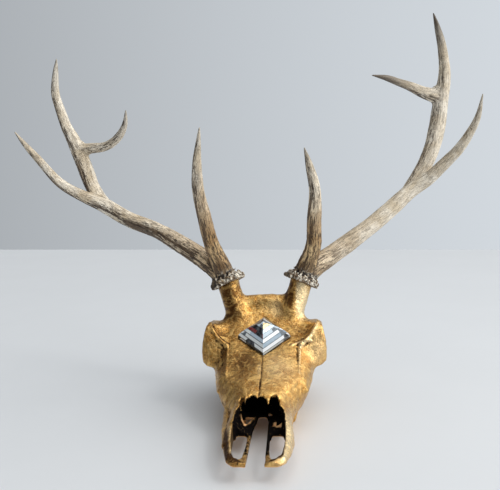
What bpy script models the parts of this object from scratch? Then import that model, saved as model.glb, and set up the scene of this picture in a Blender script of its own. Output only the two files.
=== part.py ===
"""Stag skull without its lower jaw, with both antlers and a stepped crystal set on the forehead.

Metres, +Z up.  X runs to the viewer's right across the skull, Y runs from the muzzle tip back to
the occiput and Z rises from the surface on which the skull lies.  The skull is modelled in its own
place, midline at X = 0 and muzzle tip near Y = 0, and moved at the end so that the origin is under
the middle of the whole part.  Left and right are the viewer's, looking at the face.
"""

import math
import random

import bmesh
import bpy
import numpy as np
from mathutils import Euler, Matrix, Vector

# Driving dimensions
TOOTH_HEIGHT = 0.0125        # crown height, from the resting level to the gum line
PARTING = 0.0003             # gap that neighbouring pieces keep
SKULL_VOXEL = 0.0014         # grain at which the bone forms are fused
SKULL_TRIANGLES = 6500       # triangles of the whole skull before it is parted
TUBE_SIDES = 12              # sides of an antler's beam
CRYSTAL_SIDE = 0.0392        # side of the crystal's square base
CRYSTAL_HEIGHT = 0.0208      # from the base to the point
CRYSTAL_PLACE = Vector((0.0001, 0.1740, 0.0768))
CRYSTAL_SLOPE = math.radians(28.5)
PEARLS = 18                  # knobs round a burr
BURR_RADIUS = 0.0178

GOLD = (0.62, 0.42, 0.16, 1.0)
ANTLER = (0.62, 0.55, 0.44, 1.0)
ENAMEL = (0.60, 0.45, 0.22, 1.0)
GLASS = (0.75, 0.85, 0.92, 1.0)

# Right half of the skull's cross-section at each station: y, then the height of the roof's middle,
# three (x, z) points down the side, and the height of the underside's middle
SKULL_SECTIONS = [
    (-0.001, 0.0190, (0.013, 0.0190), (0.0200, 0.0175), (0.018, 0.0150), 0.0145),
    (0.006, 0.0205, (0.019, 0.0210), (0.0250, 0.0185), (0.022, 0.0140), 0.0135),
    (0.020, 0.0220, (0.0225, 0.0225), (0.0280, 0.0190), (0.025, 0.0135), 0.0130),
    (0.040, 0.0260, (0.0235, 0.0265), (0.0305, 0.0210), (0.028, 0.0130), 0.0130),
    (0.060, 0.0330, (0.0225, 0.0335), (0.030, 0.0230), (0.026, 0.0130), 0.0130),
    (0.075, 0.0390, (0.020, 0.0385), (0.029, 0.0250), (0.024, 0.0135), 0.0135),
    (0.086, 0.0440, (0.017, 0.0420), (0.029, 0.0270), (0.024, 0.0135), 0.0140),
    (0.098, 0.0490, (0.021, 0.0460), (0.0330, 0.0290), (0.0270, 0.0130), 0.0140),
    (0.110, 0.0530, (0.0265, 0.0505), (0.0385, 0.0340), (0.0290, 0.0130), 0.0140),
    (0.125, 0.0575, (0.0315, 0.0550), (0.0450, 0.0400), (0.0320, 0.0130), 0.0140),
    (0.145, 0.0640, (0.0355, 0.0625), (0.0485, 0.0440), (0.0350, 0.0130), 0.0140),
    (0.162, 0.0700, (0.0380, 0.0695), (0.0505, 0.0480), (0.0355, 0.0130), 0.0140),
    (0.176, 0.0770, (0.0420, 0.0775), (0.0505, 0.0540), (0.0345, 0.0140), 0.0160),
    (0.188, 0.0860, (0.045, 0.0850), (0.046, 0.0600), (0.030, 0.0200), 0.0220),
    (0.200, 0.0975, (0.043, 0.0940), (0.041, 0.0640), (0.022, 0.0270), 0.0260),
    (0.212, 0.1135, (0.039, 0.1020), (0.038, 0.0680), (0.019, 0.0290), 0.0290),
    (0.225, 0.1130, (0.034, 0.0990), (0.038, 0.0680), (0.019, 0.0310), 0.0310),
    (0.240, 0.1040, (0.032, 0.0920), (0.039, 0.0640), (0.020, 0.0330), 0.0330),
    (0.252, 0.0930, (0.030, 0.0830), (0.040, 0.0600), (0.022, 0.0340), 0.0340),
    (0.260, 0.0800, (0.026, 0.0730), (0.036, 0.0570), (0.020, 0.0360), 0.0360),
    (0.265, 0.0680, (0.018, 0.0640), (0.026, 0.0540), (0.015, 0.0410), 0.0410),
]

# The nose cavity: y, half width at its floor and at its roof, height of its floor and of its roof
NOSE_SECTIONS = [
    (-0.020, 0.0235, 0.0235, 0.0175, 0.0700), (0.020, 0.0235, 0.0235, 0.0175, 0.0700),
    (0.045, 0.0240, 0.0235, 0.0177, 0.0700), (0.060, 0.0240, 0.0225, 0.0180, 0.0700),
    (0.073, 0.0235, 0.0205, 0.0180, 0.0700), (0.079, 0.0230, 0.0185, 0.0180, 0.0700),
    (0.0825, 0.0225, 0.0175, 0.0180, 0.0640), (0.0865, 0.0225, 0.0150, 0.0180, 0.0425),
    (0.100, 0.0240, 0.0150, 0.0185, 0.0465), (0.120, 0.0240, 0.0160, 0.0190, 0.0510),
    (0.136, 0.0160, 0.0120, 0.0230, 0.0460),
]
# Ragged front edge of the nasal bones, seen from above, from left to right
NASAL_FRINGE = [(-0.0185, 0.0870), (-0.0160, 0.0915), (-0.0138, 0.0860), (-0.0128, 0.0770),
                (-0.0116, 0.0855), (-0.0109, 0.0925), (-0.0094, 0.0880), (-0.0083, 0.0810),
                (-0.0072, 0.0890), (-0.0058, 0.0965), (-0.0045, 0.0910), (-0.0030, 0.0860),
                (-0.0019, 0.0815), (-0.0008, 0.0885), (0.0004, 0.0860), (0.0020, 0.0960),
                (0.0036, 0.0890), (0.0048, 0.0820), (0.0062, 0.0740), (0.0075, 0.0835),
                (0.0082, 0.0920), (0.0094, 0.0950), (0.0108, 0.0880), (0.0123, 0.0810),
                (0.0138, 0.0880), (0.0152, 0.0915), (0.0170, 0.0865)]

# Antler lines for each side: x, y, z and radius, from the root outwards
ANTLERS = {
    "left": {
        "beam": [(-0.0395, 0.2185, 0.1260, 0.0125), (-0.046, 0.222, 0.1370, 0.0130),
                 (-0.058, 0.226, 0.1475, 0.0120), (-0.076, 0.233, 0.1585, 0.0108),
                 (-0.101, 0.244, 0.1725, 0.0100), (-0.127, 0.256, 0.1850, 0.0091),
                 (-0.161, 0.270, 0.1970, 0.0090), (-0.192, 0.282, 0.2130, 0.0090),
                 (-0.215, 0.280, 0.2240, 0.0070), (-0.240, 0.272, 0.2410, 0.0057),
                 (-0.260, 0.258, 0.2700, 0.0044), (-0.270, 0.249, 0.2860, 0.0031),
                 (-0.278, 0.240, 0.3010, 0.0008)],
        "upper": [(-0.180, 0.277, 0.2060, 0.0060), (-0.196, 0.287, 0.2180, 0.0082),
                  (-0.209, 0.296, 0.2350, 0.0088), (-0.221, 0.303, 0.2650, 0.0092),
                  (-0.233, 0.308, 0.2920, 0.0080), (-0.241, 0.309, 0.3090, 0.0066),
                  (-0.247, 0.307, 0.3300, 0.0056), (-0.250, 0.303, 0.3500, 0.0050),
                  (-0.246, 0.297, 0.3720, 0.0034), (-0.242, 0.292, 0.3870, 0.0008)],
        "inner": [(-0.2315, 0.3075, 0.2790, 0.0062), (-0.223, 0.306, 0.2795, 0.0078),
                  (-0.209, 0.302, 0.2810, 0.0064), (-0.189, 0.294, 0.2830, 0.0054),
                  (-0.172, 0.285, 0.2920, 0.0047), (-0.161, 0.277, 0.3060, 0.0035),
                  (-0.157, 0.270, 0.3230, 0.0008)],
        "brow": [(-0.041, 0.221, 0.1280, 0.0100), (-0.0455, 0.216, 0.1440, 0.0104),
                 (-0.055, 0.205, 0.1720, 0.0084), (-0.0595, 0.190, 0.2010, 0.0075),
                 (-0.063, 0.175, 0.2320, 0.0062), (-0.062, 0.165, 0.2580, 0.0048),
                 (-0.059, 0.158, 0.2780, 0.0030), (-0.056, 0.152, 0.2950, 0.0008)],
    },
    "right": {
        "beam": [(0.0395, 0.2185, 0.1260, 0.0125), (0.046, 0.222, 0.1360, 0.0130),
                 (0.056, 0.226, 0.1440, 0.0120), (0.072, 0.233, 0.1525, 0.0108),
                 (0.108, 0.250, 0.1755, 0.0098), (0.138, 0.264, 0.1965, 0.0095),
                 (0.167, 0.276, 0.2200, 0.0086), (0.187, 0.276, 0.2330, 0.0078),
                 (0.204, 0.270, 0.2500, 0.0068), (0.218, 0.264, 0.2650, 0.0061),
                 (0.228, 0.257, 0.2810, 0.0050), (0.236, 0.250, 0.3000, 0.0035),
                 (0.239, 0.241, 0.3240, 0.0008)],
        "upper": [(0.152, 0.270, 0.2090, 0.0060), (0.163, 0.277, 0.2170, 0.0078),
                  (0.175, 0.284, 0.2320, 0.0085), (0.186, 0.290, 0.2490, 0.0088),
                  (0.195, 0.295, 0.2680, 0.0092), (0.202, 0.299, 0.2940, 0.0096),
                  (0.206, 0.300, 0.3210, 0.0088), (0.210, 0.298, 0.3510, 0.0069),
                  (0.207, 0.294, 0.3790, 0.0054), (0.201, 0.290, 0.4010, 0.0037),
                  (0.195, 0.286, 0.4190, 0.0008)],
        "inner": [(0.206, 0.3000, 0.3250, 0.0100), (0.198, 0.299, 0.3285, 0.0098),
                  (0.186, 0.295, 0.3320, 0.0067), (0.172, 0.289, 0.3380, 0.0054),
                  (0.157, 0.283, 0.3430, 0.0043), (0.142, 0.276, 0.3480, 0.0034),
                  (0.124, 0.268, 0.3510, 0.0008)],
        "brow": [(0.041, 0.221, 0.1280, 0.0100), (0.0455, 0.216, 0.1430, 0.0104),
                 (0.054, 0.206, 0.1690, 0.0083), (0.055, 0.190, 0.1980, 0.0077),
                 (0.056, 0.175, 0.2290, 0.0060), (0.051, 0.166, 0.2530, 0.0041),
                 (0.046, 0.158, 0.2720, 0.0008)],
    },
}

# Web of horn in the crotch of each upper fork: x, y, z and radius
FORK_WEBS = {"left": (-0.2262, 0.3068, 0.2835, 0.0085), "right": (0.2000, 0.2985, 0.3315, 0.0115)}

# Pedicle for the right side: x, y, z and radius
PEDICLE = [(0.0240, 0.204, 0.0800, 0.0150), (0.0285, 0.208, 0.0960, 0.0138),
           (0.0340, 0.2125, 0.1100, 0.0123), (0.0375, 0.2155, 0.1190, 0.0119),
           (0.0425, 0.2205, 0.1350, 0.0124)]
BURR_CENTRE = (0.0408, 0.2195, 0.1295)
BURR_AXIS = (0.39, 0.19, 0.90)
BURR_SEAT = 0.0036           # how far the burr's underside lies below its centre

# Raised edge over the right tear pit: x, y, z and radius
BROW_EDGE = [(0.0570, 0.1880, 0.0885, 0.0022), (0.0538, 0.1770, 0.0862, 0.0024),
             (0.0480, 0.1705, 0.0780, 0.0024), (0.0425, 0.1665, 0.0738, 0.0022),
             (0.0385, 0.1645, 0.0700, 0.0020), (0.0372, 0.1540, 0.0650, 0.0017),
             (0.0369, 0.1400, 0.0590, 0.0014), (0.0366, 0.1261, 0.0532, 0.0010)]

# Cheek teeth of the right row: y of the middle, x of the middle at the gum, length along the row, width
TEETH = [(0.1050, 0.0215, 0.0105, 0.0095), (0.1160, 0.0235, 0.0105, 0.0110),
         (0.1270, 0.0250, 0.0105, 0.0120), (0.1395, 0.0270, 0.0135, 0.0140),
         (0.1535, 0.0280, 0.0138, 0.0145), (0.1675, 0.0282, 0.0135, 0.0135)]
TOOTH_LEAN = 0.0020          # how far the crowns lean towards the tongue

# Slot through the right premaxilla, seen from above, and how much wider its inner edge is on the right
SLOT = [(0.0125, 0.0120), (0.0145, 0.0065), (0.0175, 0.0062), (0.0208, 0.0120), (0.0232, 0.0300),
        (0.0235, 0.0565), (0.0215, 0.0600), (0.0130, 0.0600), (0.0108, 0.0565), (0.0110, 0.0300)]
SLOT_OUTER, SLOT_WIDTH = 0.0235, 0.0127
# Where the palate behind the slot is thinned from below, seen from above
UNDER_SHELF = [(0.0110, 0.0500), (0.0225, 0.0500), (0.0205, 0.0740), (0.0172, 0.0900), (0.0158, 0.1090),
               (0.0060, 0.1090), (0.0090, 0.0740)]
RIGHT_SLOT_EXTRA = 0.0017
BREAK_TOP = 0.0275           # how high the broken openings in the palate reach
RIGHT_TRIM = 0.07            # how much slimmer the right upper jaw is in front of its teeth


def clear_scene():
    for thing in list(bpy.data.objects):
        bpy.data.objects.remove(thing, do_unlink=True)


def finish_of(name, color, roughness, metallic):
    material = bpy.data.materials.new(name)
    material.use_nodes = True
    shader = material.node_tree.nodes["Principled BSDF"]
    shader.inputs["Base Color"].default_value = color
    shader.inputs["Roughness"].default_value = roughness
    shader.inputs["Metallic"].default_value = metallic
    material.diffuse_color = color
    return material


def add_object(name, mesh):
    thing = bpy.data.objects.new(name, mesh)
    bpy.context.scene.collection.objects.link(thing)
    return thing


def mesh_object(name, points, faces):
    mesh = bpy.data.meshes.new(name)
    mesh.from_pydata([tuple(p) for p in points], [], faces)
    tidy_mesh(mesh)
    return add_object(name, mesh)


def tidy_mesh(mesh, weld=0.000002):
    form = bmesh.new()
    form.from_mesh(mesh)
    bmesh.ops.remove_doubles(form, verts=form.verts, dist=weld)
    bmesh.ops.recalc_face_normals(form, faces=form.faces)
    form.to_mesh(mesh)
    form.free()


def smooth_line(knots, t, closed=False):
    """Point at t (in knots) on the Catmull-Rom curve through the knots."""
    count = len(knots)
    spans = count if closed else count - 1
    i = min(int(t), spans - 1)
    u = t - i

    def knot(k):
        if closed:
            return np.array(knots[k % count], float)
        if k < 0:
            return 2 * np.array(knots[0], float) - np.array(knots[1], float)
        if k >= count:
            return 2 * np.array(knots[-1], float) - np.array(knots[-2], float)
        return np.array(knots[k], float)

    a, b, c, d = knot(i - 1), knot(i), knot(i + 1), knot(i + 2)
    bend = (2 * a - 5 * b + 4 * c - d) * u ** 2 + (3 * b - a - 3 * c + d) * u ** 3
    return 0.5 * (2 * b + (c - a) * u + bend)


def skin_rings(name, rings):
    """Closed skin over rings of equally many points, each end closed by a fan."""
    sides = len(rings[0])
    points = [p for ring in rings for p in ring]
    faces = []
    for r in range(len(rings) - 1):
        for s in range(sides):
            n = (s + 1) % sides
            faces.append((r * sides + s, r * sides + n, (r + 1) * sides + n, (r + 1) * sides + s))
    for ring, order in ((0, -1), (len(rings) - 1, 1)):
        points.append(np.mean(np.array(rings[ring], float), axis=0))
        hub = len(points) - 1
        for s in range(sides):
            a, b = ring * sides + s, ring * sides + (s + 1) % sides
            faces.append((a, b, hub) if order > 0 else (b, a, hub))
    return mesh_object(name, points, faces)


def line_frames(places):
    """Side and up directions that follow a line without twisting."""
    directions = np.gradient(np.array(places), axis=0)
    directions /= np.linalg.norm(directions, axis=1)[:, None]
    side = np.cross(directions[0], (0.0, 1.0, 0.3))
    side /= np.linalg.norm(side)
    frames = []
    for d in directions:
        side = side - d * np.dot(side, d)
        side /= np.linalg.norm(side)
        frames.append((side, np.cross(d, side)))
    return frames


def tube(name, knots, step=0.008, sides=TUBE_SIDES, flat=1.0):
    """Tapering tube along the knots (x, y, z, radius), flattened by flat across its second axis."""
    knots = np.array(knots, float)
    spans = np.linalg.norm(np.diff(knots[:, :3], axis=0), axis=1)
    samples = []
    for i, span in enumerate(spans):
        parts = max(1, round(span / step))
        samples += [smooth_line(knots, i + k / parts) for k in range(parts)]
    samples.append(knots[-1])
    samples = np.array(samples)
    frames = line_frames(samples[:, :3])
    rings = []
    for (x, y, z, radius), (side, up) in zip(samples, frames):
        radius = max(radius, 0.0006)
        ring = []
        for s in range(sides):
            angle = 2 * math.pi * s / sides
            ring.append(np.array((x, y, z)) + radius * (math.cos(angle) * side + flat * math.sin(angle) * up))
        rings.append(ring)
    return skin_rings(name, rings)


def ball(name, place, radii, turn=(0, 0, 0), detail=3):
    mesh = bpy.data.meshes.new(name)
    form = bmesh.new()
    spin = Euler(turn, "XYZ").to_matrix().to_4x4()
    matrix = Matrix.Translation(place) @ spin @ Matrix.Diagonal((*radii, 1.0))
    bmesh.ops.create_icosphere(form, subdivisions=detail, radius=1.0, matrix=matrix)
    form.to_mesh(mesh)
    form.free()
    return add_object(name, mesh)


def prism(name, outline, thickness, place):
    """Plate of the given thickness; place turns an outline point (u, v) and a height w into space."""
    points = [place(u, v, w) for w in (-thickness / 2, thickness / 2) for u, v in outline]
    n = len(outline)
    faces = [tuple(range(n)), tuple(range(2 * n - 1, n - 1, -1))]
    faces += [(i, (i + 1) % n, n + (i + 1) % n, n + i) for i in range(n)]
    return mesh_object(name, points, faces)


def mirrored(thing, name):
    mesh = thing.data.copy()
    mesh.transform(Matrix.Diagonal((-1, 1, 1, 1)))
    mesh.flip_normals()
    return add_object(name, mesh)


def both_sides(things):
    return things + [mirrored(thing, thing.name + "_other") for thing in things]


def apply_modifiers(thing):
    depsgraph = bpy.context.evaluated_depsgraph_get()
    mesh = bpy.data.meshes.new_from_object(thing.evaluated_get(depsgraph))
    thing.modifiers.clear()
    thing.data = mesh
    return thing


def joined(name, things):
    """One object that holds the loose shells of all the things."""
    form = bmesh.new()
    for thing in things:
        form.from_mesh(thing.data)
        bpy.data.objects.remove(thing, do_unlink=True)
    mesh = bpy.data.meshes.new(name)
    form.to_mesh(mesh)
    form.free()
    return add_object(name, mesh)


def boolean(thing, others, operation, solver="EXACT"):
    """Union with, or difference of, all the others at once; the others are used up."""
    group = bpy.data.collections.new("others")
    bpy.context.scene.collection.children.link(group)
    for other in others:
        group.objects.link(other)
    change = thing.modifiers.new(operation.lower(), "BOOLEAN")
    change.operation = operation
    change.solver = solver
    change.operand_type = "COLLECTION"
    change.collection = group
    apply_modifiers(thing)
    for other in others:
        bpy.data.objects.remove(other, do_unlink=True)
    bpy.data.collections.remove(group)
    tidy_mesh(thing.data)
    return thing


def fuse(thing, voxel):
    change = thing.modifiers.new("fuse", "REMESH")
    change.mode = "VOXEL"
    change.voxel_size = voxel
    return apply_modifiers(thing)


def relax(thing, times, strength=0.5):
    """Even out the fused surface without shrinking it, by alternating steps in and out."""
    form = bmesh.new()
    form.from_mesh(thing.data)
    for _ in range(times):
        for factor in (strength, -strength * 1.04):
            bmesh.ops.smooth_vert(form, verts=form.verts, factor=factor, use_axis_x=True, use_axis_y=True,
                                  use_axis_z=True)
    form.to_mesh(thing.data)
    form.free()
    return thing


def fill_creases(thing, rounds):
    """Fill the sharp inner corners between the forms of the forehead and the pedicles."""
    mesh = thing.data
    count = len(mesh.vertices)
    places = np.empty(count * 3)
    mesh.vertices.foreach_get("co", places)
    places = places.reshape(-1, 3)
    edges = np.empty(len(mesh.edges) * 2, int)
    mesh.edges.foreach_get("vertices", edges)
    first, second = edges.reshape(-1, 2).T
    degree = np.maximum(np.bincount(edges, minlength=count), 1)
    x, y, z = places.T
    where = (y > 0.125) & (y < 0.235) & (z > 0.040)
    normals = np.empty(count * 3)
    for _ in range(rounds):
        mesh.vertices.foreach_set("co", places.ravel())
        mesh.update()
        mesh.vertices.foreach_get("normal", normals)
        around = np.empty_like(places)
        for axis in range(3):
            around[:, axis] = (np.bincount(first, weights=places[second, axis], minlength=count)
                               + np.bincount(second, weights=places[first, axis], minlength=count)) / degree
        out = normals.reshape(-1, 3)
        lift = np.maximum(((around - places) * out).sum(axis=1), 0) * where
        places = places + 0.8 * lift[:, None] * out
    mesh.vertices.foreach_set("co", places.ravel())
    mesh.update()
    return thing


def thin_out(thing, triangles):
    form = bmesh.new()
    form.from_mesh(thing.data)
    bmesh.ops.triangulate(form, faces=form.faces)
    now = len(form.faces)
    form.to_mesh(thing.data)
    form.free()
    change = thing.modifiers.new("thin out", "DECIMATE")
    change.ratio = min(1.0, triangles / now)
    apply_modifiers(thing)
    tidy_mesh(thing.data)
    return thing


def separate(thing, seeds):
    """Loose bodies of a parted object; each takes the name of the seed point nearest to it."""
    form = bmesh.new()
    form.from_mesh(thing.data)
    bodies, seen = [], set()
    for start in form.verts:
        if start in seen:
            continue
        body, front = {start}, [start]
        while front:
            vert = front.pop()
            for edge in vert.link_edges:
                other = edge.other_vert(vert)
                if other not in body:
                    body.add(other)
                    front.append(other)
        seen |= body
        bodies.append(body)
    best = {}
    for name, seed in seeds.items():
        def distance(body):
            return min((vert.co - Vector(seed)).length for vert in body)
        best[name] = min((body for body in bodies if len(body) > 30), key=distance)
    made = {}
    for name, body in best.items():
        piece = bmesh.new()
        twin = {vert: piece.verts.new(vert.co) for vert in body}
        for face in {face for vert in body for face in vert.link_faces}:
            piece.faces.new([twin[vert] for vert in face.verts])
        bmesh.ops.recalc_face_normals(piece, faces=piece.faces)
        mesh = bpy.data.meshes.new(name)
        piece.to_mesh(mesh)
        piece.free()
        made[name] = add_object(name, mesh)
    form.free()
    bpy.data.objects.remove(thing, do_unlink=True)
    return made


def skull_section(y, roof, shoulder, side, low, floor, count=40):
    half = [(0.0, roof), shoulder, side, low, (0.0, floor)]
    loop = half + [(-x, z) for x, z in half[-2:0:-1]]
    trim = 1 - RIGHT_TRIM * math.exp(-((y - 0.107) / 0.016) ** 2)
    ring = []
    for i in range(count):
        x, z = smooth_line(loop, i * len(loop) / count, closed=True)
        ring.append((x * trim if x > 0 and z < 0.045 else x, y, z))
    return ring


def skull_core():
    return skin_rings("core", [skull_section(*section) for section in SKULL_SECTIONS])


# Corners of the bone round the right eye socket, and of the cheek bone that runs forward from it
ORBIT = [
    (0.0385, 0.1640, 0.0708), (0.0425, 0.1664, 0.0752), (0.0480, 0.1695, 0.0800),
    (0.0540, 0.1755, 0.0875), (0.0568, 0.1820, 0.0912), (0.0606, 0.1765, 0.0898),
    (0.0560, 0.2050, 0.0890), (0.0450, 0.2050, 0.0885), (0.0460, 0.1900, 0.0885),
    (0.0630, 0.1715, 0.0812), (0.0643, 0.1700, 0.0740), (0.0648, 0.1695, 0.0667),
    (0.0648, 0.1690, 0.0562), (0.0640, 0.1685, 0.0528), (0.0594, 0.1650, 0.0494),
    (0.0541, 0.1610, 0.0490), (0.0485, 0.1560, 0.0500), (0.0610, 0.2115, 0.0850),
    (0.0642, 0.2135, 0.0700), (0.0640, 0.2125, 0.0560), (0.0600, 0.2085, 0.0480),
    (0.0200, 0.2050, 0.0450), (0.0200, 0.2050, 0.0850), (0.0200, 0.1700, 0.0500),
    (0.0200, 0.1700, 0.0700),
]
CHEEK = [
    (0.0365, 0.1220, 0.0520), (0.0370, 0.1400, 0.0585), (0.0380, 0.1640, 0.0690),
    (0.0472, 0.1320, 0.0370), (0.0490, 0.1480, 0.0430), (0.0505, 0.1600, 0.0480),
    (0.0450, 0.1180, 0.0360), (0.0490, 0.1700, 0.0450), (0.0540, 0.1800, 0.0480),
    (0.0200, 0.1250, 0.0350), (0.0200, 0.1800, 0.0400), (0.0200, 0.1800, 0.0650),
]


def hull(name, corners):
    """Smallest convex body round the corners."""
    form = bmesh.new()
    for corner in corners:
        form.verts.new(corner)
    made = bmesh.ops.convex_hull(form, input=form.verts)
    bmesh.ops.delete(form, geom=made["geom_interior"], context="VERTS")
    bmesh.ops.recalc_face_normals(form, faces=form.faces)
    mesh = bpy.data.meshes.new(name)
    form.to_mesh(mesh)
    form.free()
    return add_object(name, mesh)


def bone_forms():
    """The right-hand forms that grow from the core."""
    return [
        hull("orbit", ORBIT),
        hull("cheek", CHEEK),
        tube("brow_edge", BROW_EDGE, step=0.004, sides=10),
        ball("pedicle_root", (0.0260, 0.2130, 0.0960), (0.0150, 0.0150, 0.0150)),
        tube("arch", [(0.0600, 0.204, 0.0500, 0.0050), (0.0605, 0.218, 0.0500, 0.0045),
                      (0.0560, 0.234, 0.0530, 0.0045), (0.0440, 0.246, 0.0580, 0.0055),
                      (0.0300, 0.250, 0.0600, 0.0060)], step=0.006),
        tube("pedicle", PEDICLE, step=0.005, sides=24),
        ball("condyle", (0.0130, 0.2620, 0.0400), (0.0090, 0.0090, 0.0120)),
        tube("process", [(0.0330, 0.2480, 0.0500, 0.0085), (0.0320, 0.2500, 0.0340, 0.0075),
                         (0.0305, 0.2510, 0.0170, 0.0052),
                         (0.0290, 0.2510, -0.0050, 0.0040)], step=0.006, flat=1.4),
        ball("ear_capsule", (0.0215, 0.2350, 0.0330), (0.0070, 0.0110, 0.0085)),
        ball("throat_wing", (0.0130, 0.1880, 0.0220), (0.0022, 0.0180, 0.0110)),
        tube("nape_crest", [(0.0400, 0.2480, 0.0560, 0.0035), (0.0370, 0.2510, 0.0660, 0.0042),
                            (0.0290, 0.2535, 0.0780, 0.0042), (0.0150, 0.2540, 0.0865, 0.0042),
                            (-0.0040, 0.2540, 0.0895, 0.0042)], step=0.006),
    ]


def bone_hollows():
    """The right-hand hollows that are cut from the bone: eye socket, bowl over the brow, tear pit."""
    return [
        ball("socket", (0.0730, 0.1930, 0.0675), (0.0340, 0.0186, 0.0172)),
        ball("bowl", (0.0415, 0.1745, 0.0925), (0.0095, 0.0130, 0.0105), turn=(math.radians(40), 0, 0)),
        ball("tear_pit", (0.0462, 0.1500, 0.0660),
            (0.0050, 0.0150, 0.0060), turn=(math.radians(27), math.radians(40), 0)),
    ]


def nose_cavity():
    rings = []
    for y, wide, narrow, floor, roof in NOSE_SECTIONS:
        middle = (floor + roof) / 2
        ring = []
        for s in range(28):
            angle = 2 * math.pi * s / 28
            c, w = math.cos(angle), math.sin(angle)
            rise = math.copysign(abs(w) ** 0.7, w)
            half = wide + (narrow - wide) * (1 + rise) / 2
            ring.append((half * math.copysign(abs(c) ** 0.6, c), y, middle + (roof - floor) / 2 * rise))
        rings.append(ring)
    return skin_rings("nose_cavity", rings)


def upright(name, outline, low, high):
    """Straight cutter over an outline seen from above."""
    return prism(name, outline, high - low, lambda u, v, w: (u, v, w + (low + high) / 2))


def middle_hollows():
    """Nose, gap between the premaxillae, slots, breaks in the palate, vault and spinal opening."""
    slots = []
    for side, extra in ((-1, 0.0), (1, RIGHT_SLOT_EXTRA)):
        outline = [(side * (u - extra * (SLOT_OUTER - u) / SLOT_WIDTH), v) for u, v in SLOT]
        slots.append(upright("slot", outline, -0.010, 0.050))
        shelf = [(side * u, v) for u, v in UNDER_SHELF]
        slots.append(upright("under_shelf", shelf, -0.010, 0.0152))
    gap = [(-0.0090, -0.03), (0.0070, -0.03), (0.0066, 0.096), (0.0045, 0.105), (-0.0035, 0.105),
           (-0.0055, 0.090), (-0.0072, 0.076), (-0.0080, 0.060)]
    large_break = [(-0.0052, 0.1055), (-0.0205, 0.1065), (-0.0185, 0.0940), (-0.0150, 0.0815),
                   (-0.0125, 0.0850), (-0.0095, 0.0960)]
    long_break = [(0.0092, 0.0845), (0.0150, 0.0830), (0.0195, 0.0870), (0.0200, 0.0820),
                  (0.0150, 0.0780), (0.0100, 0.0790)]
    small_break = [(0.0052, 0.1040), (0.0100, 0.1050), (0.0098, 0.1130), (0.0060, 0.1140)]
    return slots + [
        nose_cavity(),
        upright("gap", gap, -0.002, 0.022),
        upright("large_break", large_break, -0.002, BREAK_TOP),
        upright("long_break", long_break, -0.002, BREAK_TOP),
        upright("small_break", small_break, -0.002, BREAK_TOP),
        ball("palate_vault", (0, 0.138, 0.0100), (0.0160, 0.050, 0.0075)),
        ball("spinal_opening", (0, 0.2640, 0.0500), (0.0085, 0.0180, 0.0085)),
    ]


# Skull partings, each a thin plate: outline points are (y, z) for plates that run across x
FACE_TOP = (0.122, 0.120)
FACE_FOOT = (0.1842, 0.0)
CHEEK_PLATE = 0.0475         # x of the plates beside the braincase


def face_line(z):
    return FACE_FOOT[0] + (FACE_TOP[0] - FACE_FOOT[0]) * z / FACE_TOP[1]


def cross_plate(name, start, end, reach=0.09):
    """Thin plate across the skull, out to x = reach, that holds the line from start to end in y and z."""
    along = Vector((0, end[0] - start[0], end[1] - start[1]))
    normal = along.cross(Vector((1, 0, 0))).normalized()

    def place(u, v, w):
        return Vector((u, start[0], start[1])) + along * v + normal * w
    return prism(name, [(-reach, 0), (reach, 0), (reach, 1), (-reach, 1)], PARTING, place)


def side_plate(x):
    outline = [(face_line(0.0), 0.0), (0.270, 0.0), (0.270, 0.120), (face_line(0.120), 0.120)]
    return prism("side_plate", outline, PARTING, lambda u, v, w: (x + w, u, v))


def square_plate(name, place, normal, half):
    """Small thin square that cuts a limb across."""
    turn = Vector(normal).to_track_quat("Z", "Y").to_matrix()
    outline = [(-half, -half), (half, -half), (half, half), (-half, half)]
    return prism(name, outline, PARTING, lambda u, v, w: Vector(place) + turn @ Vector((u, v, w)))


def seat_block(side, depth, above):
    """Block on one side of the plane where the antler sits on its pedicle."""
    mirror = Vector((side, 1, 1))
    axis = Vector(BURR_AXIS).normalized() * mirror
    seat = Vector(BURR_CENTRE) * mirror - axis * BURR_SEAT
    turn = axis.to_track_quat("Z", "Y").to_matrix()
    middle = depth / 2 if above else PARTING - depth / 2
    half = 0.03
    return prism("seat", [(-half, -half), (half, -half), (half, half), (-half, half)], depth,
                 lambda u, v, w: seat + turn @ Vector((u, v, w + middle)))


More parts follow.
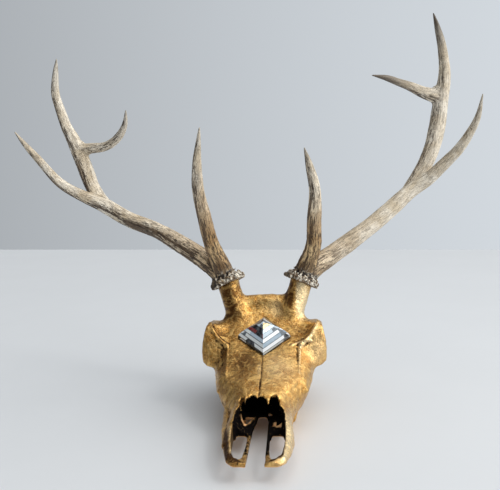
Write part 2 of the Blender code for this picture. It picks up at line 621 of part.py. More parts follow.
def skull_nodes():
    crown = tube("crown", [(-0.0300, 0.2125, 0.1060, 0.0080), (0.0, 0.2130, 0.1068, 0.0085),
                           (0.0300, 0.2125, 0.1060, 0.0080)],
                 sides=24)
    swell = tube("left_swell", [(-0.0270, 0.0300, 0.0190, 0.0040), (-0.0290, 0.0520, 0.0195, 0.0045),
                                (-0.0308, 0.0750, 0.0205, 0.0048), (-0.0312, 0.0920, 0.0230, 0.0048),
                                (-0.0330, 0.1080, 0.0290, 0.0040)], sides=24)
    skull = joined("skull", [skull_core(), crown, swell] + both_sides(bone_forms()))
    fuse(skull, SKULL_VOXEL)
    relax(skull, 1)
    fill_creases(skull, 36)
    boolean(skull, both_sides(bone_hollows()) + middle_hollows(), "DIFFERENCE", "MANIFOLD")
    fuse(skull, SKULL_VOXEL)
    relax(skull, 2)
    thin_out(skull, SKULL_TRIANGLES)
    brow_line = 0.2300
    plates = [
        cross_plate("premaxilla_plate", (0.070, 0.0), (0.070, 0.060)),
        cross_plate("face_plate", FACE_FOOT, FACE_TOP),
        cross_plate("vault_plate", (face_line(0.045), 0.045), (brow_line, 0.125), reach=CHEEK_PLATE),
        side_plate(CHEEK_PLATE),
        side_plate(-CHEEK_PLATE),
    ]
    block = prism("below_floor", [(-0.1, 0.0), (0.1, 0.0), (0.1, 0.3), (-0.1, 0.3)], 0.05,
                  lambda u, v, w: (u, v, w - 0.025))
    gum = prism("gum", [(-0.06, 0.097), (0.06, 0.097), (0.06, 0.178), (-0.06, 0.178)], 0.03,
                lambda u, v, w: (u, v, w - 0.015 + TOOTH_HEIGHT))
    root, ahead = Vector(PEDICLE[2][:3]), Vector(PEDICLE[3][:3])
    for side in (-1, 1):
        mirror = Vector((side, 1, 1))
        plates.append(square_plate("pedicle_plate", root * mirror, (ahead - root) * mirror, 0.0165))
        plates.append(seat_block(side, 0.04, above=True))
    fringe = upright("fringe", NASAL_FRINGE + [(0.0170, 0.0600), (-0.0185, 0.0600)], 0.0370, 0.0650)
    boolean(skull, plates + [block, gum, fringe], "DIFFERENCE")
    seeds = {
        "left_premaxilla": (-0.030, 0.030, 0.015), "right_premaxilla": (0.030, 0.030, 0.015),
        "face": (0.0, 0.110, 0.053), "forehead": (0.0, 0.195, 0.097), "braincase": (0.0, 0.258, 0.080),
        "left_cheek": (-0.0645, 0.180, 0.055), "right_cheek": (0.0645, 0.180, 0.055),
        "left_pedicle": (-0.050, 0.217, 0.125), "right_pedicle": (0.050, 0.217, 0.125),
    }
    return separate(skull, seeds)


def tooth_row(side):
    """Six worn cheek teeth fused in one row, flat where they bite."""
    crowns = []
    for y, x, length, width in TEETH:
        rings = []
        top = TOOTH_HEIGHT - PARTING
        for z, grow in ((0.0, 0.80), (0.0012, 0.92), (0.006, 1.0), (top, 1.02)):
            middle = x - TOOTH_LEAN * (1 - z / top)
            ring = []
            for s in range(12):
                angle = 2 * math.pi * s / 12
                c, w = math.cos(angle), math.sin(angle)
                ring.append((middle + width / 2 * grow * math.copysign(abs(c) ** 0.6, c),
                             y + (length / 2 + 0.0004) * grow * math.copysign(abs(w) ** 0.6, w), z))
            rings.append(ring)
        crowns.append(skin_rings("crown", rings))
    row = boolean(crowns[0], crowns[1:], "UNION")
    row.name = side + "_tooth_row"
    if side == "left":
        row.data.transform(Matrix.Diagonal((-1, 1, 1, 1)))
        row.data.flip_normals()
    return row


def burr(side):
    """Knobbed ring at the antler's root."""
    dice = random.Random(5 if side == "left" else 8)
    sign = -1 if side == "left" else 1
    mirror = Vector((sign, 1, 1))
    centre = Vector(BURR_CENTRE) * mirror
    axis = Vector(BURR_AXIS).normalized() * mirror
    turn = axis.to_track_quat("Z", "Y").to_matrix()
    rings = []
    count = PEARLS * 2
    swell = [dice.uniform(0.6, 1.0) if i % 2 else dice.uniform(-0.2, 0.2) for i in range(count)]
    profile = [(0.008, -0.0030), (0.0150, -0.0036), (BURR_RADIUS, -0.0020), (BURR_RADIUS + 0.0012, 0.0006),
               (BURR_RADIUS - 0.0006, 0.0034), (0.0145, 0.0050), (0.008, 0.0060)]
    for radius, height in profile:
        ring = []
        for i in range(count):
            angle = 2 * math.pi * i / count
            knob = swell[i] * 0.0018 if radius > 0.014 else 0.0
            place = Vector(((radius + knob) * math.cos(angle), (radius + knob) * math.sin(angle), height))
            ring.append(centre + turn @ place)
        rings.append(ring)
    return skin_rings("burr", rings)


def antler_nodes(side):
    lines = ANTLERS[side]
    steps = {"beam": 0.009, "upper": 0.008, "inner": 0.008, "brow": 0.008}
    parts = {name: tube(name, knots, step=steps[name]) for name, knots in lines.items()}
    sign = -1 if side == "left" else 1
    web = ball("fork_web", FORK_WEBS[side][:3], (FORK_WEBS[side][3], 0.0055, FORK_WEBS[side][3]), detail=2)
    whole = boolean(parts["beam"], [parts["upper"], parts["inner"], parts["brow"], web, burr(side)], "UNION")

    def across(name, t, half):
        here, ahead = smooth_line(lines[name], t), smooth_line(lines[name], t + 0.1)
        return square_plate(name + "_plate", here[:3], Vector(ahead[:3]) - Vector(here[:3]), half)
    plates = [across("brow", 1.75, 0.012), across("beam", 2.9, 0.015), across("beam", 8.1, 0.0105),
              across("upper", 2.6, 0.013), across("inner", 1.6, 0.010),
              across("upper", 4.9 if side == "left" else 6.7, 0.010)]
    plates.append(seat_block(sign, 0.02, above=False))
    boolean(whole, plates, "DIFFERENCE")
    seeds = {
        side + "_burr": smooth_line(lines["beam"], 1.0)[:3],
        side + "_brow_tine": lines["brow"][-2][:3],
        side + "_beam": smooth_line(lines["beam"], 5.0)[:3],
        side + "_trez_tine": lines["beam"][-2][:3],
        side + "_upper_beam": smooth_line(lines["upper"], 3.6)[:3],
        side + "_top_tine": lines["upper"][-2][:3],
        side + "_inner_tine": lines["inner"][-2][:3],
    }
    return separate(whole, seeds)


def crystal():
    """Square step-cut pyramid, one corner towards the muzzle, lying on the slope of the forehead."""
    half = CRYSTAL_SIDE / 2
    steps = [(0.0, 0.975), (0.05, 1.0), (0.17, 0.985), (0.34, 0.885), (0.50, 0.760), (0.64, 0.620),
             (0.77, 0.460), (0.88, 0.290), (0.965, 0.120), (1.0, 0.012)]
    rings = []
    for rise, grow in steps:
        rings.append([(half * grow * u, half * grow * v, CRYSTAL_HEIGHT * rise) for u, v in ((1, 1),
                      (-1, 1), (-1, -1), (1, -1))])
    stone = skin_rings("crystal", rings)
    matrix = (Matrix.Translation(CRYSTAL_PLACE) @ Matrix.Rotation(CRYSTAL_SLOPE, 4, "X")
              @ Matrix.Rotation(math.pi / 4, 4, "Z"))
    stone.data.transform(matrix)
    return stone


def bed_for_crystal(forehead, face):
    """Flatten the bone under the crystal so that the stone sits on it with the parting gap."""
    matrix = (Matrix.Translation(CRYSTAL_PLACE) @ Matrix.Rotation(CRYSTAL_SLOPE, 4, "X")
              @ Matrix.Rotation(math.pi / 4, 4, "Z"))
    half = CRYSTAL_SIDE / 2 + PARTING
    for bone in (forehead, face):
        box = prism("bed", [(-half, -half), (half, -half), (half, half), (-half, half)], 0.03,
                    lambda u, v, w: matrix @ Vector((u, v, w + 0.015 - PARTING)))
        boolean(bone, [box], "DIFFERENCE")


def centre_on_floor(nodes):
    """Move everything so that the origin is under the middle of the whole part, on the floor."""
    corners = np.array([vert.co[:] for node in nodes for vert in node.data.vertices])
    low, high = corners.min(axis=0), corners.max(axis=0)
    shift = Vector((-(low[0] + high[0]) / 2, -(low[1] + high[1]) / 2, -low[2]))
    for node in nodes:
        node.data.transform(Matrix.Translation(shift))
    return shift


def build():
    clear_scene()
    gold = finish_of("gold_leaf", GOLD, 0.38, 0.9)
    antler = finish_of("antler", ANTLER, 0.6, 0.0)
    enamel = finish_of("gilded_teeth", ENAMEL, 0.45, 0.6)
    glass = finish_of("crystal", GLASS, 0.05, 0.0)
    nodes = {}
    bones = skull_nodes()
    bed_for_crystal(bones["forehead"], bones["face"])
    for name, bone in bones.items():
        bone.data.materials.append(gold)
        nodes[name] = bone
    for side in ("left", "right"):
        row = tooth_row(side)
        row.data.materials.append(enamel)
        nodes[row.name] = row
        for name, piece in antler_nodes(side).items():
            piece.data.materials.append(antler)
            nodes[name] = piece
    stone = crystal()
    stone.data.materials.append(glass)
    nodes["crystal"] = stone
    for name, node in nodes.items():
        node.name = name
        if name != "crystal":
            node.data.shade_smooth()
            node.data.set_sharp_from_angle(angle=math.radians(50))
    centre_on_floor(list(nodes.values()))


build()
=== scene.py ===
"""Gilded stag skull without its lower jaw, lying nose to the camera, with natural weathered antlers
and a stepped crystal on the forehead.

The bone and the antlers are modelled in the skull's own place, midline at X = 0 and muzzle tip near
Y = 0, and moved to the model's place when they are done. Left and right are the viewer's.
"""

import math

import bmesh
import bpy
import numpy as np
from mathutils import Matrix, Vector, noise


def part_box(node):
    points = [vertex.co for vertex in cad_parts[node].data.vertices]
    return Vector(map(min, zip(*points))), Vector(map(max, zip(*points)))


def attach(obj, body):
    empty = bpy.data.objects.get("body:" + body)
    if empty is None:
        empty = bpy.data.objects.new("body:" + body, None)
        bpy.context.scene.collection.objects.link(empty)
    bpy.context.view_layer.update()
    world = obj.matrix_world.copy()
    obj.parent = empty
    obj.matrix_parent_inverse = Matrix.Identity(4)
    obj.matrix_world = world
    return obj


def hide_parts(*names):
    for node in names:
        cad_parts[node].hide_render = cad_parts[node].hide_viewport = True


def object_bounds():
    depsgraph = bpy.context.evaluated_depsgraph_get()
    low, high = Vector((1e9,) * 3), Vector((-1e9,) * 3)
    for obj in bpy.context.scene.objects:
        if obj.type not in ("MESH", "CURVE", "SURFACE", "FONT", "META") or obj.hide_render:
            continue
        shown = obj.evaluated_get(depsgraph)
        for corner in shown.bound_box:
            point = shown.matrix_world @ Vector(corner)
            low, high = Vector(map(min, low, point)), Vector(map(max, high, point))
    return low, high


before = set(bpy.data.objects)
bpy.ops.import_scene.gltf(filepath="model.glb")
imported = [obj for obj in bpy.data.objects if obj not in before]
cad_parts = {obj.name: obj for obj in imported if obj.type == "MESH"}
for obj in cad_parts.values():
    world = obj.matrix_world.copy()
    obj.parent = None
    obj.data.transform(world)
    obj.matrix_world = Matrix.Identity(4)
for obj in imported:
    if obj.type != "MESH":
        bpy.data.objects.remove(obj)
cad_low, cad_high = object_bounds()

# Driving dimensions
BOX_MARGIN = 0.00002        # how far every piece stays inside the model's box
WELD = 0.000002             # points nearer to each other than this become one
TUBE_STEP = 0.004           # distance between the rings of a tube
BRANCH_STEP = 0.0025        # distance between the points at which a branch is measured
BATCH = 4000                # vertices measured in one go
THINNEST = 0.0006           # smallest radius of a tube
FREE_AXIS = (0.0, 1.0, 0.3)
TOOTH_HEIGHT = 0.0125
BONE_VOXEL = 0.0010
ANTLER_VOXEL = 0.0009
CRYSTAL_SIDE = 0.0392
CRYSTAL_HEIGHT = 0.0208
CRYSTAL_PLACE = Vector((0.0001, 0.1740, 0.0768))
CRYSTAL_SLOPE = math.radians(28.5)
CRYSTAL_SHY = 0.0001        # how far the dressed crystal stays inside the plain one
PARTING = 0.0003            # gap between the crystal and its bed
BURR_RADIUS = 0.0178
BURR_CENTRE = Vector((0.0408, 0.2195, 0.1295))
BURR_AXIS = Vector((0.39, 0.19, 0.90)).normalized()
SEAT_DEPTH = 0.0020         # how far below the burr's middle the pedicle ends
# Rings of the burr from below: radius and height
BURR_RINGS = [(0.006, -0.0026), (0.0138, -0.0030), (BURR_RADIUS - 0.0012, -0.0016),
              (BURR_RADIUS - 0.0002, 0.0006), (BURR_RADIUS - 0.0018, 0.0030), (0.0145, 0.0046),
              (0.006, 0.006)]
PEARLS = 24
PEARL_STRAY = 0.0009        # how far a pearl may lie off its row
PEARL_SEEDS = {"left": 5, "right": 18}
# Rows of pearls on the burr from below: radius, height, number of pearls and their radius
PEARL_ROWS = [(BURR_RADIUS + 0.0003, -0.0016, PEARLS + 8, 0.0021),
              (BURR_RADIUS + 0.0002, 0.0010, PEARLS + 6, 0.0021),
              (BURR_RADIUS - 0.0019, 0.0036, PEARLS + 4, 0.0019), (0.0144, 0.0060, PEARLS, 0.0015),
              (0.0134, 0.0092, PEARLS - 4, 0.0011)]
SIGN = {"left": -1, "right": 1}     # which way each side lies from the midline

# The model's parts that the gilded skull shows, and those that each antler shows
BONES = ("braincase", "forehead", "face", "left_premaxilla", "right_premaxilla", "left_cheek",
         "right_cheek", "left_pedicle", "right_pedicle")
ANTLER_PARTS = ("burr", "brow_tine", "beam", "trez_tine", "upper_beam", "inner_tine", "top_tine")

# Camera and light; the photo's width and the focal length are in its pixels
PHOTO_WIDTH, FOCAL_LENGTH = 500, 700
SENSOR_WIDTH = 36.0
CAMERA_PLACE = Vector((0.03915, -0.53871, 0.26233))
CAMERA_PITCH, CAMERA_YAW = math.radians(7.0), math.radians(-4.06928)
CAMERA_ROLL = math.radians(-1.80392)
TABLE_CORNERS = [(-1.70, -1.60), (1.70, -1.60), (1.70, 1.02), (-1.70, 1.60)]
# Round lamps: name, place, aim, size, power and colour
LAMPS = [("key", (1.05, -0.60, 1.45), (0.0, 0.0, 0.10), 0.45, 4.5, (1.0, 0.97, 0.92)),
         ("window", (1.65, -0.30, 1.30), (0.0, 0.0, 0.12), 1.60, 7.5, (1.0, 0.98, 0.95))]
# Soft glows of the room: direction, cosines of the angles to it at which the glow begins and at
# which it is full, and colour
GLOWS = [((0.46, -0.08, 0.88), 0.50, 0.98, (1.65, 1.62, 1.55, 1)),
         ((0.92, -0.32, 0.24), 0.80, 0.98, (1.60, 1.57, 1.51, 1))]
ROOM_DIM, ROOM_PALE = (0.20, 0.21, 0.22, 1), (0.74, 0.79, 0.84, 1)
TABLE_COLOUR = (0.660, 0.690, 0.730, 1)

# Right half of the skull's cross-section at each station: y, then the height of the roof's middle,
# three (x, z) points down the side, and the height of the underside's middle
SKULL_SECTIONS = [
    (-0.001, 0.0190, (0.013, 0.0190), (0.0200, 0.0175), (0.018, 0.0150), 0.0145),
    (0.006, 0.0205, (0.019, 0.0210), (0.0250, 0.0185), (0.022, 0.0140), 0.0135),
    (0.020, 0.0220, (0.0225, 0.0225), (0.0280, 0.0190), (0.025, 0.0135), 0.0130),
    (0.040, 0.0260, (0.0235, 0.0265), (0.0305, 0.0210), (0.028, 0.0130), 0.0130),
    (0.060, 0.0330, (0.0225, 0.0335), (0.030, 0.0230), (0.026, 0.0130), 0.0130),
    (0.075, 0.0390, (0.020, 0.0385), (0.029, 0.0250), (0.024, 0.0135), 0.0135),
    (0.086, 0.0440, (0.017, 0.0420), (0.029, 0.0270), (0.024, 0.0135), 0.0140),
    (0.098, 0.0490, (0.021, 0.0460), (0.0330, 0.0290), (0.0270, 0.0130), 0.0140),
    (0.110, 0.0530, (0.0265, 0.0505), (0.0385, 0.0340), (0.0290, 0.0130), 0.0140),
    (0.125, 0.0575, (0.0315, 0.0550), (0.0450, 0.0400), (0.0320, 0.0130), 0.0140),
    (0.145, 0.0640, (0.0355, 0.0625), (0.0485, 0.0440), (0.0350, 0.0130), 0.0140),
    (0.162, 0.0700, (0.0380, 0.0695), (0.0505, 0.0480), (0.0355, 0.0130), 0.0140),
    (0.176, 0.0770, (0.0420, 0.0775), (0.0505, 0.0540), (0.0345, 0.0140), 0.0160),
    (0.188, 0.0860, (0.045, 0.0850), (0.046, 0.0600), (0.030, 0.0200), 0.0220),
    (0.200, 0.0975, (0.043, 0.0940), (0.041, 0.0640), (0.022, 0.0270), 0.0260),
    (0.212, 0.1135, (0.039, 0.1020), (0.038, 0.0680), (0.019, 0.0290), 0.0290),
    (0.225, 0.1130, (0.034, 0.0990), (0.038, 0.0680), (0.019, 0.0310), 0.0310),
    (0.240, 0.1040, (0.032, 0.0920), (0.039, 0.0640), (0.020, 0.0330), 0.0330),
    (0.252, 0.0930, (0.030, 0.0830), (0.040, 0.0600), (0.022, 0.0340), 0.0340),
    (0.260, 0.0800, (0.026, 0.0730), (0.036, 0.0570), (0.020, 0.0360), 0.0360),
    (0.265, 0.0680, (0.018, 0.0640), (0.026, 0.0540), (0.015, 0.0410), 0.0410),
]

# The nose cavity: y, half width at its floor and at its roof, height of its floor and of its roof
NOSE_SECTIONS = [
    (-0.020, 0.0235, 0.0235, 0.0175, 0.0700), (0.020, 0.0235, 0.0235, 0.0175, 0.0700),
    (0.045, 0.0240, 0.0235, 0.0177, 0.0700), (0.060, 0.0240, 0.0225, 0.0180, 0.0700),
    (0.065, 0.0238, 0.0215, 0.0180, 0.0700), (0.070, 0.0234, 0.0198, 0.0180, 0.0700),
    (0.0735, 0.0230, 0.0185, 0.0180, 0.0600), (0.0775, 0.0228, 0.0165, 0.0180, 0.0388),
    (0.0865, 0.0225, 0.0150, 0.0180, 0.0425),
    (0.100, 0.0240, 0.0150, 0.0185, 0.0465), (0.120, 0.0240, 0.0160, 0.0190, 0.0510),
    (0.136, 0.0160, 0.0120, 0.0230, 0.0460),
]
# Ragged front edge of the nasal bones, seen from above, from left to right
NASAL_FRINGE = [(-0.0186, 0.0770), (-0.0198, 0.0850), (-0.0188, 0.0890), (-0.0168, 0.0905),
                (-0.0150, 0.0870), (-0.0139, 0.0795), (-0.0131, 0.0850), (-0.0122, 0.0895),
                (-0.0110, 0.0850), (-0.0099, 0.0875), (-0.0085, 0.0885), (-0.0070, 0.0893),
                (-0.0055, 0.0876), (-0.0040, 0.0862), (-0.0030, 0.0835), (-0.0020, 0.0860),
                (-0.0004, 0.0880), (0.0012, 0.0865), (0.0022, 0.0880), (0.0034, 0.0845),
                (0.0044, 0.0862), (0.0053, 0.0845), (0.0064, 0.0790), (0.0073, 0.0730),
                (0.0084, 0.0810), (0.0096, 0.0890), (0.0112, 0.0885), (0.0134, 0.0900),
                (0.0152, 0.0885), (0.0172, 0.0850), (0.0178, 0.0770)]
FRINGE_FRONT = [(0.0170, 0.0560), (-0.0184, 0.0560)]    # corners that close the cut in front of it
# Where the nose is painted black: pairs are the lowest and the highest place along one axis, or the
# places between which the paint sets in
NOSE_FRONT = 0.0555          # where the black paint on the nose floor begins
PAINT_TOP, PAINT_BOTTOM, PAINT_BACK = 0.0520, 0.0160, 0.1420
RIM_BACK = 0.074             # how far back the opening's side rims stay gilded
SHELF_HALF, SHELF_HEIGHT = 0.0240, (0.0125, 0.0245)
SHELF_FRONT, SHELF_BACK = (0.0540, 0.0552), 0.1100
BAR_HALF, BAR_FRONT, BAR_HEIGHT = 0.0145, (0.012, 0.018), (0.0130, 0.0260)
BAR_WEAR = (0.65, 0.12)      # how much paint is left on the right bar and on the left one
SLOT_WALL_ACROSS, SLOT_WALL_ALONG = (0.0195, 0.0250), (0.010, 0.070)
SLOT_WALL_TOP, SLOT_WALL_RISE = 0.0240, 0.15
# Gap between the two halves of the premaxilla, seen from above
MIDDLE_GAP = [(-0.0090, -0.03), (0.0070, -0.03), (0.0066, 0.096), (0.0045, 0.105), (-0.0035, 0.105),
              (-0.0055, 0.090), (-0.0072, 0.076), (-0.0080, 0.060)]
# Broken openings in the palate, seen from above
PALATE_BREAKS = {
    "large_break": [(-0.0052, 0.1055), (-0.0205, 0.1065), (-0.0185, 0.0940), (-0.0150, 0.0815),
                    (-0.0125, 0.0850), (-0.0095, 0.0960)],
    "long_break": [(0.0092, 0.0845), (0.0150, 0.0830), (0.0195, 0.0870), (0.0200, 0.0820),
                   (0.0150, 0.0780), (0.0100, 0.0790)],
    "small_break": [(0.0052, 0.1040), (0.0100, 0.1050), (0.0098, 0.1130), (0.0060, 0.1140)],
}

# Antler lines for each side: x, y, z and radius, from the root outwards
ANTLERS = {
    "left": {
        "beam": [(-0.0395, 0.2185, 0.1260, 0.0125), (-0.046, 0.222, 0.1370, 0.0130),
                 (-0.058, 0.226, 0.1475, 0.0120), (-0.076, 0.233, 0.1585, 0.0108),
                 (-0.101, 0.244, 0.1725, 0.0100), (-0.127, 0.256, 0.1850, 0.0091),
                 (-0.161, 0.270, 0.1970, 0.0090), (-0.192, 0.282, 0.2130, 0.0090),
                 (-0.215, 0.280, 0.2240, 0.0070), (-0.240, 0.272, 0.2410, 0.0057),
                 (-0.260, 0.258, 0.2700, 0.0044), (-0.270, 0.249, 0.2860, 0.0031),
                 (-0.278, 0.240, 0.3010, 0.0008)],
        "upper": [(-0.180, 0.277, 0.2060, 0.0060), (-0.196, 0.287, 0.2180, 0.0082),
                  (-0.209, 0.296, 0.2350, 0.0088), (-0.221, 0.303, 0.2650, 0.0092),
                  (-0.233, 0.308, 0.2920, 0.0080), (-0.241, 0.309, 0.3090, 0.0066),
                  (-0.247, 0.307, 0.3300, 0.0056), (-0.250, 0.303, 0.3500, 0.0050),
                  (-0.246, 0.297, 0.3720, 0.0034), (-0.242, 0.292, 0.3870, 0.0008)],
        "inner": [(-0.2315, 0.3075, 0.2790, 0.0062), (-0.223, 0.306, 0.2795, 0.0078),
                  (-0.209, 0.302, 0.2810, 0.0064), (-0.189, 0.294, 0.2830, 0.0054),
                  (-0.172, 0.285, 0.2920, 0.0047), (-0.161, 0.277, 0.3060, 0.0035),
                  (-0.157, 0.270, 0.3230, 0.0008)],
        "brow": [(-0.041, 0.221, 0.1280, 0.0100), (-0.0455, 0.216, 0.1440, 0.0104),
                 (-0.055, 0.205, 0.1720, 0.0084), (-0.0595, 0.190, 0.2010, 0.0075),
                 (-0.063, 0.175, 0.2320, 0.0062), (-0.062, 0.165, 0.2580, 0.0048),
                 (-0.059, 0.158, 0.2780, 0.0030), (-0.056, 0.152, 0.2950, 0.0008)],
    },
    "right": {
        "beam": [(0.0395, 0.2185, 0.1260, 0.0125), (0.046, 0.222, 0.1360, 0.0130),
                 (0.056, 0.226, 0.1440, 0.0120), (0.072, 0.233, 0.1525, 0.0108),
                 (0.108, 0.250, 0.1755, 0.0098), (0.138, 0.264, 0.1965, 0.0095),
                 (0.167, 0.276, 0.2200, 0.0086), (0.187, 0.276, 0.2330, 0.0078),
                 (0.204, 0.270, 0.2500, 0.0068), (0.218, 0.264, 0.2650, 0.0061),
                 (0.228, 0.257, 0.2810, 0.0050), (0.236, 0.250, 0.3000, 0.0035),
                 (0.239, 0.241, 0.3240, 0.0008)],
        "upper": [(0.152, 0.270, 0.2090, 0.0060), (0.163, 0.277, 0.2170, 0.0078),
                  (0.175, 0.284, 0.2320, 0.0085), (0.186, 0.290, 0.2490, 0.0088),
                  (0.195, 0.295, 0.2680, 0.0092), (0.202, 0.299, 0.2940, 0.0096),
                  (0.206, 0.300, 0.3210, 0.0088), (0.210, 0.298, 0.3510, 0.0069),
                  (0.207, 0.294, 0.3790, 0.0054), (0.201, 0.290, 0.4010, 0.0037),
                  (0.195, 0.286, 0.4190, 0.0008)],
        "inner": [(0.206, 0.3000, 0.3250, 0.0076), (0.198, 0.299, 0.3285, 0.0082),
                  (0.186, 0.295, 0.3320, 0.0067), (0.172, 0.289, 0.3380, 0.0054),
                  (0.157, 0.283, 0.3430, 0.0043), (0.142, 0.276, 0.3480, 0.0034),
                  (0.124, 0.268, 0.3510, 0.0008)],
        "brow": [(0.041, 0.221, 0.1280, 0.0100), (0.0455, 0.216, 0.1430, 0.0104),
                 (0.054, 0.206, 0.1690, 0.0083), (0.055, 0.190, 0.1980, 0.0077),
                 (0.056, 0.175, 0.2290, 0.0060), (0.051, 0.166, 0.2530, 0.0041),
                 (0.046, 0.158, 0.2720, 0.0008)],
    },
}

# How brown each branch is stained, with painted shade on its left and under sides, how dark its
# tip is, and the share of its length at which that darkness begins
BRANCH_STAIN_AND_SHADE = {
    "left": {"beam": (1.75, 0.20, 0.80), "upper": (1.25, 0.30, 0.75), "inner": (0.55, 0.45, 0.55),
             "brow": (0.85, 0.30, 0.80)},
    "right": {"beam": (0.22, 0.30, 0.80), "upper": (0.42, 1.00, 0.76), "inner": (0.95, 0.95, 0.20),
              "brow": (0.85, 0.35, 0.80)},
}

# Tone of the gilding round a place, painted shade and painted highlight with some patina: x, y, z,
# then the reach each way, then how much darker and browner (above 0: patina and painted shade) or
# paler and brighter (below 0: painted highlight) the leaf is there
TONES_AND_PAINTED_LIGHT = [
    ((-0.0190, 0.1400, 0.0630), (0.0150, 0.0240, 0.0120), 0.85),
    ((0.0175, 0.1290, 0.0580), (0.0180, 0.0260, 0.0120), -0.40),
    ((-0.0034, 0.1290, 0.0590), (0.0022, 0.0220, 0.0060), -0.40),
    ((-0.0300, 0.1920, 0.0915), (0.0150, 0.0140, 0.0120), 0.30),
    ((-0.0347, 0.1970, 0.1040), (0.0110, 0.0120, 0.0100), 0.55),
    ((-0.0435, 0.1617, 0.0678), (0.0085, 0.0120, 0.0100), 0.20),
    ((-0.0455, 0.1468, 0.0566), (0.0060, 0.0100, 0.0080), 0.50),
    ((0.0341, 0.1800, 0.0830), (0.0130, 0.0140, 0.0100), 0.55),
    ((0.0560, 0.1640, 0.0660), (0.0120, 0.0200, 0.0180), -0.45),
    ((0.0000, 0.1920, 0.0900), (0.0180, 0.0100, 0.0120), 0.15),
    ((0.0150, 0.2000, 0.0980), (0.0120, 0.0100, 0.0120), -0.35),
    ((0.0275, 0.2037, 0.1170), (0.0062, 0.0140, 0.0170), 1.70),
    ((0.0400, 0.2020, 0.1140), (0.0065, 0.0130, 0.0200), -2.40),
    ((-0.0435, 0.2036, 0.1160), (0.0090, 0.0140, 0.0210), 1.50),
    ((-0.0300, 0.2060, 0.1170), (0.0090, 0.0120, 0.0160), 0.50),
    ((0.0165, 0.2023, 0.1040), (0.0120, 0.0100, 0.0090), -0.20),
    ((0.0275, 0.0390, 0.0256), (0.0045, 0.0420, 0.0120), -1.00),
    ((0.0200, 0.0060, 0.0190), (0.0090, 0.0080, 0.0080), -0.50),
    ((-0.0262, 0.0250, 0.0222), (0.0040, 0.0300, 0.0090), 0.65),
    ((-0.0150, 0.0040, 0.0180), (0.0090, 0.0080, 0.0080), 0.40),
]

# Patches of the palate left bare of paint, seen from above; their bright tan is also painted light
# that stands in for warm light bounced into the dim breaks
BARE_AND_BOUNCE_PATCHES = [
    [(-0.0150, 0.0755), (-0.0105, 0.0850), (-0.0058, 0.1035), (-0.0192, 0.1025), (-0.0202, 0.0900)],
    [(0.0105, 0.0860), (0.0150, 0.0700), (0.0190, 0.0640), (0.0205, 0.0680), (0.0165, 0.0800),
     (0.0125, 0.0880)],
]

# The smoother leaf on the right cheek: its place and its reach each way
SMOOTH_PLATE = ((0.0560, 0.1640, 0.0660), (0.0130, 0.0220, 0.0200))

# Web of horn in the crotch of each upper fork: x, y, z and radius
FORK_WEBS = {"left": [(-0.2262, 0.3068, 0.2835, 0.0085)],
             "right": [(0.2042, 0.2985, 0.3298, 0.0112)]}
WEB_DEPTH = 0.0055           # the web's radius from front to back
HORN_BEGINS = (0.004, 0.012)    # the horn's own relief sets in between these heights above the burr
# Grooves along the horn: how closely they stand round it, their length and their height
FLUTE_COUNT, FLUTE_LENGTH, FLUTE_HEIGHT = 3.2, 0.030, 0.00055
BEAD_SIZE, BEAD_HEIGHT = 0.0045, 0.00028
HORN_SHY = 0.0001            # how far the horn's skin stays below the fused form's

# Pedicle for the right side: x, y, z and radius
PEDICLE = [(0.0240, 0.204, 0.0800, 0.0150), (0.0285, 0.208, 0.0960, 0.0138),
           (0.0340, 0.2125, 0.1100, 0.0123), (0.0375, 0.2155, 0.1190, 0.0119),
           (0.0425, 0.2205, 0.1350, 0.0124)]

# Cheek teeth of the right row: y of the middle, x of the middle at the gum, length and width
TEETH = [(0.1050, 0.0215, 0.0105, 0.0095), (0.1160, 0.0235, 0.0105, 0.0110),
         (0.1270, 0.0250, 0.0105, 0.0120), (0.1395, 0.0270, 0.0135, 0.0140),
         (0.1535, 0.0280, 0.0138, 0.0145), (0.1675, 0.0282, 0.0135, 0.0135)]
TOOTH_LEAN = 0.0020          # how far a tooth's foot stands inwards of its gum
# Rings of a tooth from its worn face up to the gum: height and share of its full size
TOOTH_RINGS = [(0.0, 0.62), (0.0, 0.80), (0.0010, 0.91), (0.0040, 0.97), (0.0080, 1.0),
               (TOOTH_HEIGHT + 0.0008, 1.0)]
TOOTH_FRONT = 0.09924        # y at which the tooth rows begin

# Slot through the premaxilla, seen from above; on the right its inner edge lies further in
SLOT = [(0.0125, 0.0120), (0.0145, 0.0065), (0.0175, 0.0062), (0.0208, 0.0120), (0.0232, 0.0300),
        (0.0235, 0.0565), (0.0215, 0.0600), (0.0130, 0.0600), (0.0108, 0.0565), (0.0110, 0.0300)]
SLOT_OUTER, SLOT_WIDTH = 0.0235, 0.0127
RIGHT_SLOT_EXTRA = 0.0017
# Where the palate behind the slot is thinned from below, seen from above
UNDER_SHELF = [(0.0110, 0.0500), (0.0225, 0.0500), (0.0205, 0.0740), (0.0172, 0.0900),
               (0.0158, 0.1090), (0.0060, 0.1090), (0.0090, 0.0740)]
SLOT_CUT = (-0.010, 0.050)          # lowest and highest points of each cut from above
FRINGE_CUT = (0.0340, 0.0650)
GAP_CUT = (-0.002, 0.022)
BREAK_CUT = (-0.002, 0.0275)
UNDER_CUT = (-0.010, 0.0152)
GUM_AREA = (-0.06, 0.097, 0.06, 0.178)      # left, front, right and back of the room for the teeth
CUT_DEPTH, SEAT_ROOM = 0.03, 0.04           # how deep these cuts reach, more than the bone is thick
# How much slimmer the right upper jaw is in front of its teeth: share, middle and reach in y, top
RIGHT_TRIM, TRIM_MIDDLE, TRIM_REACH, TRIM_TOP = 0.07, 0.107, 0.016, 0.045

